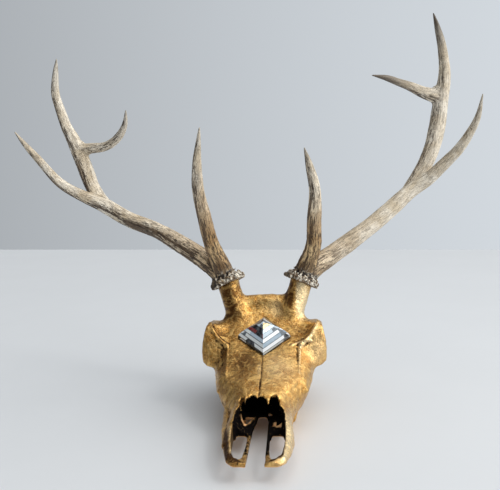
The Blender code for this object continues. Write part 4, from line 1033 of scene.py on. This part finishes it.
def ring_of_pearls():
    """Geometry tree: pearls round a ring, each with its own size and its own place off the ring."""
    tree = bpy.data.node_groups.new("ring_of_pearls", "GeometryNodeTree")
    sockets = (("Radius", "Float", BURR_RADIUS), ("Rise", "Float", 0.0), ("Size", "Float", 0.0020),
               ("Stray", "Float", PEARL_STRAY), ("Count", "Int", PEARLS), ("Seed", "Int", 0))
    for name, kind, value in sockets:
        socket = tree.interface.new_socket(name, in_out="INPUT", socket_type="NodeSocket" + kind)
        socket.default_value = value
    tree.interface.new_socket("Finish", in_out="INPUT", socket_type="NodeSocketMaterial")
    tree.interface.new_socket("Geometry", in_out="OUTPUT", socket_type="NodeSocketGeometry")
    start, end = tree.nodes.new("NodeGroupInput"), tree.nodes.new("NodeGroupOutput")
    given = start.outputs
    ring = put(tree, "GeometryNodeMeshCircle", Vertices=given["Count"], Radius=given["Radius"])
    chance = put(tree, "FunctionNodeRandomValue", {"data_type": "FLOAT_VECTOR"},
                 Min=(-1, -1, -1), Max=(1, 1, 1), Seed=given["Seed"])
    stray = put(tree, "ShaderNodeVectorMath", {"operation": "SCALE"},
                Vector=chance.outputs["Value"], Scale=given["Stray"])
    lift = put(tree, "ShaderNodeCombineXYZ", Z=given["Rise"])
    shift = put(tree, "ShaderNodeVectorMath", {"operation": "ADD"})
    tree.links.new(stray.outputs["Vector"], shift.inputs[0])
    tree.links.new(lift.outputs["Vector"], shift.inputs[1])
    spots = put(tree, "GeometryNodeSetPosition", Geometry=ring.outputs["Mesh"],
                Offset=shift.outputs["Vector"])
    pearl = put(tree, "GeometryNodeMeshIcoSphere", Radius=given["Size"], Subdivisions=2)
    swell = put(tree, "FunctionNodeRandomValue", {"data_type": "FLOAT_VECTOR"},
                Min=(0.60, 0.60, 0.55), Max=(1.15, 1.15, 1.40), Seed=given["Seed"])
    set_out = put(tree, "GeometryNodeInstanceOnPoints", Points=spots.outputs["Geometry"],
                  Instance=pearl.outputs["Mesh"], Scale=swell.outputs["Value"])
    solid = put(tree, "GeometryNodeRealizeInstances", Geometry=set_out.outputs["Instances"])
    dressed = put(tree, "GeometryNodeSetMaterial", Geometry=solid.outputs["Geometry"],
                  Material=given["Finish"])
    tree.links.new(dressed.outputs["Geometry"], end.inputs["Geometry"])
    return tree


def pearl_row(tree, matrix, **sizes):
    """One row of pearls as a plain mesh; the sizes are named as the tree's sockets are."""
    row = add_object("pearls", bpy.data.meshes.new("pearls"))
    growth = row.modifiers.new("pearls", "NODES")
    growth.node_group = tree
    for socket in tree.interface.items_tree:
        if socket.in_out == "INPUT":
            growth[socket.identifier] = sizes[socket.name]
    apply_modifiers(row)
    row.data.transform(matrix)
    return row


def burr_forms(side, tree, finish):
    """Ring at the antler's root with rows of pearls."""
    centre, _, turn = burr_place(SIGN[side])
    rings = [[centre + turn @ Vector((radius * math.cos(angle), radius * math.sin(angle), height))
              for angle in round_angles(48)] for radius, height in BURR_RINGS]
    forms = [skin_rings("burr", rings)]
    place = Matrix.Translation(centre) @ turn.to_4x4()
    for number, (radius, height, count, size) in enumerate(PEARL_ROWS):
        spin = Matrix.Rotation(math.pi * number / count, 4, "Z")
        forms.append(pearl_row(tree, place @ spin, Radius=radius, Rise=height, Size=size,
                               Stray=PEARL_STRAY, Count=count, Seed=number + PEARL_SEEDS[side],
                               Finish=finish))
    return forms


def branch_positions(clay, lines):
    """Each vertex's nearest branch, its share along it, and its place along and across it."""
    chosen = np.full(clay.count, np.inf)
    branch = np.zeros(clay.count, int)
    share = np.zeros(clay.count)
    lie = np.zeros((clay.count, 3))
    for number, knots in enumerate(lines.values()):
        samples = sampled_line(knots, BRANCH_STEP)
        centres = samples[:, :3]
        run = np.concatenate([[0], np.cumsum(np.linalg.norm(np.diff(centres, axis=0), axis=1))])
        frames = line_frames(centres)
        sides, ups, ways = (np.array([f[i] for f in frames]) for i in range(3))
        for start in range(0, clay.count, BATCH):
            part = slice(start, start + BATCH)
            here = clay.places[part]
            gaps = np.linalg.norm(here[:, None, :] - centres[None, :, :], axis=2)
            nearest = gaps.argmin(axis=1)
            rows = np.arange(len(here))
            excess = gaps[rows, nearest] - samples[nearest, 3]
            better = excess < chosen[part]
            off = here - centres[nearest]
            along = run[nearest] + (off * ways[nearest]).sum(axis=1)
            spot = np.stack([(off * sides[nearest]).sum(axis=1),
                             (off * ups[nearest]).sum(axis=1), along], axis=1)
            chosen[part] = np.where(better, excess, chosen[part])
            branch[part] = np.where(better, number, branch[part])
            share[part] = np.where(better, along / run[-1], share[part])
            lie[part] = np.where(better[:, None], spot, lie[part])
    return branch, share, lie


def flute_antler(clay, places_on, above_burr, low_down):
    """Fine grooves along the horn and low beads on it; the burr keeps its own relief."""
    branch, share, lie = places_on
    body = step_up(above_burr, *HORN_BEGINS)
    across = lie[:, :2] / np.maximum(np.linalg.norm(lie[:, :2], axis=1), 0.002)[:, None]
    turning = np.stack([across[:, 0] * FLUTE_COUNT, across[:, 1] * FLUTE_COUNT,
                        lie[:, 2] / FLUTE_LENGTH + branch * 7.0], axis=1)
    flutes = FLUTE_HEIGHT * rough(turning, 1.0, 2)
    beads = BEAD_HEIGHT * (0.4 + 1.6 * low_down) * rough(clay.places, BEAD_SIZE, 2)
    taper = 1 - 0.85 * step_up(share, 0.55, 1.0)
    clay.push(body * taper * (flutes + beads) - HORN_SHY)
    clay.renew()


def note_horn(clay, side, names, places_on, above_burr, off_burr, low_down):
    """Where the horn is stained, with painted shade on its left and under sides, golden, dark at its
    tips and dirty, with painted shade in its crevices, and where its pearls show pale on their lit
    side.
    """
    branch, share, lie = places_on
    along_fibre = np.stack([lie[:, 0] + 0.05 * branch, lie[:, 1], lie[:, 2] * 0.14], axis=1)
    layer = clay.thing.data.attributes.new("lie", "FLOAT_VECTOR", "POINT")
    layer.data.foreach_set("vector", along_fibre.astype(np.float32).ravel())
    brow, beam = branch == names.index("brow"), branch == names.index("beam")
    stain_and_shade_amount, darkness, begins = np.array([BRANCH_STAIN_AND_SHADE[side][name] for name in names])[branch].T
    rightward = clay.normals[:, 0]
    # Sides that face left and down are stained darker as painted shade
    shaded_side = step_up(-rightward * 0.9 - clay.normals[:, 2] * 0.3, -0.1, 0.8)
    stain_and_shade = stain_and_shade_amount * (0.12 + 1.75 * shaded_side) * (1 - 0.65 * share)
    stain_and_shade = stain_and_shade + 0.9 * np.exp(-off_burr / 0.030) + 0.25 * brow * (1 - share)
    clay.note("stain_and_shade", np.clip(stain_and_shade, 0, 1.3))
    rooted = np.exp(-np.maximum(off_burr - 0.012, 0) / 0.075)
    rooted = rooted + 0.90 * brow * (1 - 1.4 * share) - 0.25 * (side == "right") * beam
    clay.note("root", np.clip(rooted, 0, 1))
    clay.note("tip", darkness * step_up((share - begins) / (1 - begins), 0.0, 0.9))
    small, wide = clay.hollowness(5), clay.hollowness(12)
    burr = 1 - step_up(above_burr, *HORN_BEGINS)
    # Dirt and painted shade in the crevices and between the pearls; the burr's left-facing side gets
    # painted shade
    crevice_dirt_and_shade = step_up(small, 0.00003, 0.00028) * (0.35 + 0.6 * low_down)
    crevice_dirt_and_shade += burr * step_up(wide, 0.0, 0.00032) * 1.1
    crevice_dirt_and_shade += burr * 0.75 * step_up(-rightward, 0.35, 0.85)
    clay.note("dirt_and_painted_shade", np.clip(crevice_dirt_and_shade, 0, 1))
    # Pearls show pale only on their lit, right-facing side, as painted light
    lit = step_up(rightward + 0.5 * rough(clay.places, 0.006), -0.75, 0.1)
    clay.note("pearl", (1 - step_up(above_burr, 0.0045, 0.0130)) * lit)


def make_antler(side, tree, finish):
    lines = ANTLERS[side]
    forms = [tube(name, knots) for name, knots in lines.items()] + burr_forms(side, tree, finish)
    for x, y, z, size in FORK_WEBS[side]:
        forms.append(ball("fork_web", (x, y, z), (size, WEB_DEPTH, size)))
    antler = fuse(joined(side + "_antler", forms), ANTLER_VOXEL)
    clay = Clay(antler)
    clay.relax(2)
    mirror = np.array((SIGN[side], 1, 1))
    centre, axis = np.array(BURR_CENTRE) * mirror, np.array(BURR_AXIS) * mirror
    clay.fill_creases(100, step_up(np.linalg.norm(clay.places - centre, axis=1), 0.030, 0.040))
    places_on = branch_positions(clay, lines)
    above_burr = (clay.places - centre) @ axis
    off_burr = np.linalg.norm(clay.places - centre, axis=1)
    low_down = np.exp(-off_burr / 0.050)
    flute_antler(clay, places_on, above_burr, low_down)
    note_horn(clay, side, list(lines), places_on, above_burr, off_burr, low_down)
    return finish_piece(antler)


# Crystal


def crystal_matrix():
    lie = Matrix.Rotation(CRYSTAL_SLOPE, 4, "X") @ Matrix.Rotation(math.pi / 4, 4, "Z")
    return Matrix.Translation(CRYSTAL_PLACE) @ lie


# Colours of the reflections painted on the crystal's facets
PALE, WHITE, BLUE = (0.46, 0.56, 0.64), (0.80, 0.85, 0.90), (0.30, 0.40, 0.50)
SLATE, BLACK, KHAKI = (0.090, 0.115, 0.140), (0.010, 0.010, 0.012), (0.060, 0.052, 0.030)
RED, STRAW = (0.200, 0.022, 0.016), (0.90, 0.70, 0.30)
ICE, FROST = (0.92, 0.98, 1.00), (0.52, 0.64, 0.76)
PAINTED_GLINT = (0.70, 0.78, 0.86, 1)
# Painted reflection on each side's facets from the base up
PAINTED_REFLECTIONS = {
    "front_right": [PALE, WHITE, BLUE, WHITE, PALE, BLUE, STRAW, STRAW],
    "back_right": [SLATE, BLACK, SLATE, BLACK, SLATE, PALE, SLATE, WHITE],
    "back_left": [PALE, BLUE, WHITE, SLATE, PALE, SLATE, BLACK, PALE],
    "front_left": [KHAKI, ICE, ICE, FROST, RED, BLACK, SLATE, PALE],
}
# Bars of another painted reflection or shadow in some facets: the facet's number from the base
# up, the shares of its length between which the bar lies, and its colour
PAINTED_REFLECTION_BARS = {
    "front_left": {1: (0.08, 0.34, ICE), 2: (0.30, 0.66, BLACK), 3: (0.05, 0.20, SLATE),
                   4: (0.05, 0.30, ICE), 5: (0.50, 0.95, BLACK), 7: (0.10, 0.45, PALE)},
    "front_right": {1: (0.72, 0.97, SLATE), 2: (0.80, 0.97, BLACK), 3: (0.78, 0.97, SLATE),
                    4: (0.82, 0.97, SLATE), 5: (0.62, 0.92, SLATE), 6: (0.20, 0.60, WHITE)},
    "back_right": {1: (0.20, 0.50, PALE), 3: (0.50, 0.80, WHITE), 5: (0.20, 0.60, BLACK)},
    "back_left": {1: (0.30, 0.60, SLATE), 3: (0.20, 0.50, BLUE), 5: (0.30, 0.70, BLACK)},
}
BAR_TAPER = 0.04             # how much a bar draws in at each end of its upper edge
# Painted dark reflection on the lower edge of each side's steps, and the share of a step that it
# takes
PAINTED_SILLS = {"front_left": BLACK, "front_right": SLATE, "back_left": SLATE, "back_right": BLACK}
CRYSTAL_SILL = 0.17
# Height of each step, as a share of the crystal's height, and its width as a share of the base
CRYSTAL_STEPS = [(0.0, 0.975), (0.05, 1.0), (0.17, 0.985), (0.34, 0.885), (0.50, 0.760),
                 (0.64, 0.620), (0.77, 0.460), (0.88, 0.290), (0.965, 0.120), (1.0, 0.012)]


def make_crystal():
    """Square step-cut pyramid whose facets each carry their own painted reflection of light."""
    half = CRYSTAL_SIDE / 2 - CRYSTAL_SHY
    corners = [(1, -1), (1, 1), (-1, 1), (-1, -1)]
    sides = ["back_right", "back_left", "front_left", "front_right"]
    form = bmesh.new()
    painted_reflection = form.loops.layers.float_color.new("painted_reflection")
    rings = [[form.verts.new((half * grow * u, half * grow * v, CRYSTAL_HEIGHT * rise))
              for u, v in corners] for rise, grow in CRYSTAL_STEPS]

    def facet(points, colour):
        face = form.faces.new(points)
        for loop in face.loops:
            loop[painted_reflection] = (*colour, 1.0)

    def between(a, b, t):
        return form.verts.new(a.co.lerp(b.co, t))

    # The base and the top carry painted reflections too
    facet(list(reversed(rings[0])), SLATE)
    facet(rings[-1], WHITE)
    for level in range(len(rings) - 1):
        low, high = rings[level], rings[level + 1]
        if level > 0:
            sill = [between(a, b, CRYSTAL_SILL) for a, b in zip(low, high)]
            for i, side in enumerate(sides):
                facet([low[i], low[(i + 1) % 4], sill[(i + 1) % 4], sill[i]], PAINTED_SILLS[side])
            low = sill
        for i, side in enumerate(sides):
            a, b, c, d = low[i], low[(i + 1) % 4], high[(i + 1) % 4], high[i]
            colour = KHAKI if level == 0 else PAINTED_REFLECTIONS[side][level - 1]
            if level not in PAINTED_REFLECTION_BARS[side]:
                facet([a, b, c, d], colour)
                continue
            start, end, tone = PAINTED_REFLECTION_BARS[side][level]
            low_marks = [between(a, b, start), between(a, b, end)]
            high_marks = [between(d, c, start + BAR_TAPER), between(d, c, end - BAR_TAPER)]
            facet([a, low_marks[0], high_marks[0], d], colour)
            facet([low_marks[0], low_marks[1], high_marks[1], high_marks[0]], tone)
            facet([low_marks[1], b, c, high_marks[1]], colour)
    bmesh.ops.remove_doubles(form, verts=form.verts, dist=WELD)
    bmesh.ops.recalc_face_normals(form, faces=form.faces)
    mesh = bpy.data.meshes.new("stepped_crystal")
    form.to_mesh(mesh)
    form.free()
    stone = add_object("stepped_crystal", mesh)
    mesh.transform(crystal_matrix())
    mesh.transform(Matrix.Translation(HOME))
    return stone


# Materials


def feed(tree, socket, value):
    """Link the socket when the value is another node's output, or else set it."""
    if isinstance(value, bpy.types.NodeSocket):
        tree.links.new(value, socket)
    else:
        socket.default_value = value


def put(tree, kind, settings=None, **inputs):
    """Add a node; inputs name its sockets, with a value or with the socket that feeds it."""
    new = tree.nodes.new(kind)
    for key, value in (settings or {}).items():
        setattr(new, key, value)
    for key, value in inputs.items():
        feed(tree, new.inputs[key.replace("_", " ")], value)
    return new


def blend_colours(tree, share, low, high):
    """Colour that goes from low to high as the share goes from 0 to 1."""
    new = put(tree, "ShaderNodeMix", {"data_type": "RGBA", "blend_type": "MIX"})
    for number, value in ((0, share), (6, low), (7, high)):
        feed(tree, new.inputs[number], value)
    return new.outputs[2]


def coat(tree, below, colour, mask, strength):
    """Lay a coat of a colour over what is below, where the mask is above 0."""
    return blend_colours(tree, times(tree, mask, strength), below, colour)


def sums(tree, way, first, second):
    new = put(tree, "ShaderNodeMath", {"operation": way})
    feed(tree, new.inputs[0], first)
    feed(tree, new.inputs[1], second)
    return new.outputs[0]


def plus(tree, first, second):
    return sums(tree, "ADD", first, second)


def minus(tree, first, second):
    return sums(tree, "SUBTRACT", first, second)


def times(tree, first, second):
    return sums(tree, "MULTIPLY", first, second)


def larger(tree, first, second):
    return sums(tree, "MAXIMUM", first, second)


def ramp(tree, value, low, high):
    """Number that rises smoothly from 0 to 1 as the value goes from low to high."""
    new = put(tree, "ShaderNodeMapRange", {"interpolation_type": "SMOOTHSTEP"}, Value=value,
              From_Min=low, From_Max=high)
    return new.outputs["Result"]


def kept(tree, name, socket="Fac"):
    """Value that the mesh carries under a name."""
    return put(tree, "ShaderNodeAttribute", {"attribute_name": name}).outputs[socket]


def grain_group():
    """Shared effect: uneven grain on a vector, as a soft mask, flecks, thin lines and a height."""
    group = bpy.data.node_groups.new("uneven_grain", "ShaderNodeTree")
    sockets = group.interface
    sockets.new_socket("Vector", in_out="INPUT", socket_type="NodeSocketVector")
    for name, value in (("Coarse", 60.0), ("Fine", 500.0), ("Flecks", 0.62), ("Swirl", 0.8)):
        socket = sockets.new_socket(name, in_out="INPUT", socket_type="NodeSocketFloat")
        socket.default_value = value
    for name in ("Mask", "Fleck", "Line", "Height"):
        sockets.new_socket(name, in_out="OUTPUT", socket_type="NodeSocketFloat")
    start, end = group.nodes.new("NodeGroupInput"), group.nodes.new("NodeGroupOutput")
    given = start.outputs
    coarse, fine = (put(group, "ShaderNodeTexNoise", Vector=given["Vector"], Scale=given[scale],
                        Detail=detail, Roughness=0.6, Distortion=given["Swirl"]).outputs[0]
                    for scale, detail in (("Coarse", 4.0), ("Fine", 3.0)))
    mask = ramp(group, coarse, 0.36, 0.66)
    fleck = ramp(group, minus(group, fine, given["Flecks"]), 0.0, 0.05)
    off_middle = sums(group, "ABSOLUTE", minus(group, coarse, 0.5), 0.0)
    line = minus(group, 1.0, ramp(group, off_middle, 0.008, 0.042))
    height = plus(group, times(group, coarse, 0.7), times(group, fine, 0.3))
    for name, result in (("Mask", mask), ("Fleck", fleck), ("Line", line), ("Height", height)):
        group.links.new(result, end.inputs[name])
    return group


GRAIN = grain_group()


def grain(tree, vector, coarse, fine, flecks, swirl):
    new = put(tree, "ShaderNodeGroup", {"node_tree": GRAIN}, Vector=vector, Coarse=coarse,
              Fine=fine, Flecks=flecks, Swirl=swirl)
    return new.outputs


def two_bumps(tree, shader, coarse, fine):
    """Relief of two sizes on a finish: each is a strength, a depth in metres and a height."""
    below = None
    for strength, depth, height in (coarse, fine):
        bump = put(tree, "ShaderNodeBump", Strength=strength, Distance=depth, Height=height)
        if below is not None:
            tree.links.new(below, bump.inputs["Normal"])
        below = bump.outputs[0]
    tree.links.new(below, shader.inputs["Normal"])


def new_finish(name):
    material = bpy.data.materials.new(name)
    material.use_nodes = True
    tree = material.node_tree
    return material, tree, tree.nodes["Principled BSDF"]


# Colours of the leaf and of what lies on it, from the first coat to the last: the bright leaf is a
# painted highlight, the old brown is patina and painted shade, and the umber is umber dirt and
# painted shade
LEAF_DEEP, LEAF_WARM = (0.470, 0.222, 0.044, 1), (0.730, 0.440, 0.135, 1)
LEAF_PALE, PAINTED_HIGHLIGHT_LEAF = (0.95, 0.68, 0.30, 1), (0.93, 0.74, 0.44, 1)
PATINA_AND_SHADE_BROWN = (0.105, 0.040, 0.008, 1)
SCRATCH, STROKE = (0.090, 0.040, 0.012, 1), (0.075, 0.028, 0.008, 1)
CREASE, UMBER_AND_SHADE = (0.150, 0.062, 0.015, 1), (0.050, 0.021, 0.006, 1)
SOOT, BLACK_PAINT = (0.022, 0.011, 0.005, 1), (0.006, 0.005, 0.005, 1)
BARE_BONE = (0.90, 0.52, 0.25, 1)


def plain_leaf(tree, where):
    """Mottled leaf, with the two grains that it is made of."""
    leaf = grain(tree, where, 85.0, 300.0, 0.60, 1.8)
    veil = grain(tree, where, 190.0, 700.0, 0.62, 2.6)
    colour = blend_colours(tree, leaf["Mask"], LEAF_DEEP, LEAF_WARM)
    return leaf, veil, coat(tree, colour, LEAF_PALE, veil["Mask"], 0.34)


def finish_leaf(tree, shader, colour, dull, leaf, veil):
    tree.links.new(colour, shader.inputs["Base Color"])
    tree.links.new(plus(tree, dull, times(tree, veil["Mask"], 0.10)), shader.inputs["Roughness"])
    two_bumps(tree, shader, (0.80, 0.0016, leaf["Height"]), (0.45, 0.0008, veil["Height"]))


def antiqued_gilding():
    """Mottled gold leaf with patina, painted shade and painted highlights, umber and painted shade
    in its hollows, black paint in the nose and bare bone.
    """
    material, tree, shader = new_finish("antiqued_gilding")
    where = put(tree, "ShaderNodeTexCoord").outputs["Object"]
    leaf, veil, colour = plain_leaf(tree, where)
    dirt_and_painted_shade, patina_and_painted_shade = kept(tree, "dirt_and_painted_shade"), kept(tree, "patina_and_painted_shade")
    paint, bone = kept(tree, "paint"), kept(tree, "bone")
    # Painted highlight on the lit parts of the leaf
    painted_highlight = times(tree, kept(tree, "painted_highlight"), 0.85)
    colour = blend_colours(tree, painted_highlight, colour, PAINTED_HIGHLIGHT_LEAF)
    # Patina and painted shade darken the leaf to old brown
    brown = times(tree, patina_and_painted_shade, plus(tree, times(tree, leaf["Mask"], -0.50), 1.15))
    colour = blend_colours(tree, ramp(tree, brown, 0.05, 1.20), colour, PATINA_AND_SHADE_BROWN)
    scratch = times(tree, leaf["Line"], ramp(tree, plus(tree, patina_and_painted_shade, veil["Mask"]), 0.45, 1.4))
    colour = coat(tree, colour, SCRATCH, scratch, 0.60)
    stroke = times(tree, veil["Line"], ramp(tree, leaf["Mask"], 0.95, 0.25))
    stroke = times(tree, stroke, minus(tree, 0.95, painted_highlight))
    colour = coat(tree, colour, STROKE, times(tree, stroke, kept(tree, "strokes")), 0.95)
    colour = coat(tree, colour, CREASE, ramp(tree, veil["Height"], 0.43, 0.35), 0.50)
    # Umber and painted shade in the hollows
    umber_and_shade = ramp(tree, times(tree, dirt_and_painted_shade, plus(tree, veil["Mask"], 0.45)), 0.10, 0.95)
    colour = blend_colours(tree, umber_and_shade, colour, UMBER_AND_SHADE)
    spots = times(tree, leaf["Fleck"], ramp(tree, plus(tree, patina_and_painted_shade, dirt_and_painted_shade), 0.05, 0.8))
    colour = coat(tree, colour, SOOT, spots, 0.9)
    chips = grain(tree, where, 75.0, 650.0, 0.66, 0.5)
    paint = times(tree, paint, minus(tree, 1.0, chips["Fleck"]))
    colour = blend_colours(tree, paint, colour, BLACK_PAINT)
    colour = blend_colours(tree, bone, colour, BARE_BONE)
    dark = larger(tree, umber_and_shade, spots)
    gilt = minus(tree, 1.0, larger(tree, paint, bone))
    metal = times(tree, minus(tree, 0.92, times(tree, dark, 0.5)), gilt)
    tree.links.new(metal, shader.inputs["Metallic"])
    clear = minus(tree, 0.5, times(tree, dark, 0.42))
    tree.links.new(times(tree, gilt, clear), shader.inputs["Specular IOR Level"])
    dull = plus(tree, times(tree, larger(tree, dark, paint), 0.25), 0.27)
    dull = minus(tree, dull, times(tree, painted_highlight, 0.10))
    finish_leaf(tree, shader, colour, dull, leaf, veil)
    return material


def worn_gilding():
    """The same leaf on the cheek teeth, duller and without paint or dirt."""
    material, tree, shader = new_finish("worn_gilding")
    where = put(tree, "ShaderNodeTexCoord").outputs["Object"]
    leaf, veil, colour = plain_leaf(tree, where)
    shader.inputs["Metallic"].default_value = 0.85
    dull = plus(tree, times(tree, leaf["Mask"], 0.12), 0.38)
    finish_leaf(tree, shader, colour, dull, leaf, veil)
    return material


# Colours of the horn: in each pair the deeper one first; the pearl pair is painted only on the
# pearls' lit side, the brown stain is also painted shade, and the horn dirt is also painted shade
PALE_HORN = (0.68, 0.575, 0.420, 1), (0.95, 0.88, 0.755, 1)
WARM_HORN = (0.40, 0.225, 0.075, 1), (0.78, 0.545, 0.260, 1)
LIT_SIDE_PEARL_HORN = (0.130, 0.085, 0.048, 1), (1.00, 0.96, 0.84, 1)
BROWN_STAIN_AND_SHADE, DARK_LINE = (0.085, 0.042, 0.014, 1), (0.030, 0.015, 0.007, 1)
SPECK, PEARL_PIT = (0.110, 0.062, 0.028, 1), (0.05, 0.03, 0.02, 1)
HORN_DIRT_AND_SHADE, HORN_TIP = (0.020, 0.012, 0.007, 1), (0.050, 0.032, 0.020, 1)


def horn():
    """Weathered antler: pale with brown streaks, golden brown at the root and dark at the tips;
    stain and painted shade on its shaded sides, dirt and painted shade in its crevices, pearls pale
    on their lit side.
    """
    material, tree, shader = new_finish("weathered_antler")
    where = put(tree, "ShaderNodeTexCoord").outputs["Object"]
    streaks = grain(tree, kept(tree, "lie", "Vector"), 270.0, 620.0, 0.545, 0.5)
    cloud = grain(tree, where, 38.0, 620.0, 0.57, 0.3)
    beads = grain(tree, where, 340.0, 900.0, 0.56, 0.0)
    stain_and_shade, root, tip, dirt_and_painted_shade, pearl = (kept(tree, name)
                                       for name in ("stain_and_shade", "root", "tip", "dirt_and_painted_shade", "pearl"))
    pale = blend_colours(tree, cloud["Mask"], *PALE_HORN)
    warm = blend_colours(tree, cloud["Mask"], *WARM_HORN)
    colour = coat(tree, pale, warm, root, 0.90)
    # Brown stain, and painted shade on the shaded sides
    stain_and_shade_amount = ramp(tree, minus(tree, times(tree, stain_and_shade, 0.60), streaks["Mask"]), -0.18, 0.58)
    colour = coat(tree, colour, BROWN_STAIN_AND_SHADE, stain_and_shade_amount, 0.90)
    line = larger(tree, streaks["Fleck"], streaks["Line"])
    line = times(tree, line, ramp(tree, stain_and_shade, -0.30, 0.50))
    colour = coat(tree, colour, DARK_LINE, line, 0.94)
    speck = times(tree, cloud["Fleck"], ramp(tree, stain_and_shade, -0.9, 0.5))
    colour = coat(tree, colour, SPECK, speck, 0.55)
    # Pale pearls on their lit side: a painted highlight
    bead = blend_colours(tree, ramp(tree, beads["Mask"], 0.20, 0.75), *LIT_SIDE_PEARL_HORN)
    bead = blend_colours(tree, beads["Fleck"], bead, PEARL_PIT)
    colour = coat(tree, colour, bead, pearl, 0.85)
    # Dirt and painted shade in the crevices
    colour = blend_colours(tree, dirt_and_painted_shade, colour, HORN_DIRT_AND_SHADE)
    colour = coat(tree, colour, HORN_TIP, tip, 0.92)
    tree.links.new(colour, shader.inputs["Base Color"])
    tree.links.new(minus(tree, 0.62, times(tree, tip, 0.25)), shader.inputs["Roughness"])
    two_bumps(tree, shader, (0.70, 0.0016, streaks["Height"]), (0.20, 0.0006, cloud["Height"]))
    return material


def cut_glass():
    """Foiled crystal: each facet shows its own painted flash of reflected light, with painted
    glints, under a clear hard gloss.
    """
    material, tree, shader = new_finish("cut_crystal")
    where = put(tree, "ShaderNodeTexCoord").outputs["Object"]
    # Painted glints scattered over the facets
    painted_glint = grain(tree, where, 220.0, 900.0, 0.60, 0.0)["Mask"]
    colour = coat(tree, kept(tree, "painted_reflection", "Color"), PAINTED_GLINT, painted_glint, 0.16)
    tree.links.new(colour, shader.inputs["Base Color"])
    for name, value in (("Metallic", 0.12), ("Roughness", 0.10), ("IOR", 1.55),
                        ("Specular IOR Level", 0.30)):
        shader.inputs[name].default_value = value
    return material


def pale_table():
    material, tree, shader = new_finish("pale_table")
    where = put(tree, "ShaderNodeTexCoord").outputs["Object"]
    cloud = grain(tree, where, 6.0, 300.0, 0.6, 0.0)
    darker = tuple(c * 0.985 for c in TABLE_COLOUR[:3]) + (1,)
    colour = blend_colours(tree, cloud["Mask"], darker, TABLE_COLOUR)
    tree.links.new(colour, shader.inputs["Base Color"])
    shader.inputs["Roughness"].default_value = 0.55
    return material


# Putting it together


def lamp(name, place, aim, size, power, colour):
    light = bpy.data.lights.new(name, "AREA")
    light.shape, light.size, light.energy, light.color = "DISK", size, power, colour
    thing = bpy.data.objects.new(name, light)
    bpy.context.scene.collection.objects.link(thing)
    thing.location = place
    thing.rotation_euler = (Vector(aim) - Vector(place)).to_track_quat("-Z", "Y").to_euler()


def set_camera():
    """Camera of the photo: its pitch, yaw and roll against the level skull."""
    turn = (Matrix.Rotation(CAMERA_ROLL, 3, "Y") @ Matrix.Rotation(CAMERA_PITCH, 3, "X")
            @ Matrix.Rotation(CAMERA_YAW, 3, "Z"))
    data = bpy.data.cameras.new("camera")
    data.sensor_width = SENSOR_WIDTH
    data.lens = SENSOR_WIDTH * FOCAL_LENGTH / PHOTO_WIDTH
    camera = bpy.data.objects.new("camera", data)
    bpy.context.scene.collection.objects.link(camera)
    matrix = (turn.transposed() @ Matrix.Rotation(math.pi / 2, 3, "X")).to_4x4()
    matrix.translation = CAMERA_PLACE + HOME
    camera.matrix_world = matrix
    bpy.context.scene.camera = camera


def set_floor():
    mesh = bpy.data.meshes.new("floor")
    mesh.from_pydata([(x, y, 0.0) for x, y in TABLE_CORNERS], [], [(0, 1, 2, 3)])
    floor = add_object("floor", mesh)
    floor.data.materials.append(pale_table())


def set_light():
    world = bpy.data.worlds.new("room")
    world.use_nodes = True
    tree = world.node_tree
    ray = put(tree, "ShaderNodeTexCoord").outputs["Generated"]
    way = put(tree, "ShaderNodeSeparateXYZ", Vector=ray)
    lean = plus(tree, times(tree, way.outputs["X"], 0.75), times(tree, way.outputs["Y"], 0.25))
    sky = blend_colours(tree, ramp(tree, lean, -0.80, 0.90), ROOM_DIM, ROOM_PALE)
    for direction, begins, full, colour in GLOWS:
        toward = put(tree, "ShaderNodeVectorMath", {"operation": "DOT_PRODUCT"})
        tree.links.new(ray, toward.inputs[0])
        toward.inputs[1].default_value = direction
        sky = blend_colours(tree, ramp(tree, toward.outputs["Value"], begins, full), sky, colour)
    tree.links.new(sky, tree.nodes["Background"].inputs["Color"])
    bpy.context.scene.world = world
    for row in LAMPS:
        lamp(*row)
    bpy.context.scene.view_settings.view_transform = "Standard"


def dress(thing, material, slot, *nodes):
    """Give a finished piece its one material, hang it under the root body and hide the parts of the
    model that it stands for.
    """
    thing.data.materials.clear()
    thing.data.materials.append(material)
    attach(thing, "root")
    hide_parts(*nodes)


dress(make_skull(), antiqued_gilding(), "gold_leaf", *BONES)
dress(make_crystal(), cut_glass(), "crystal", "crystal")
tooth_gold = worn_gilding()
antler_finish = horn()
pearl_tree = ring_of_pearls()
for side in SIGN:
    dress(make_teeth(side), tooth_gold, "gilded_teeth", side + "_tooth_row")
    dress(make_antler(side, pearl_tree, antler_finish), antler_finish, "antler",
          *(side + "_" + name for name in ANTLER_PARTS))

set_floor()
set_light()
set_camera()
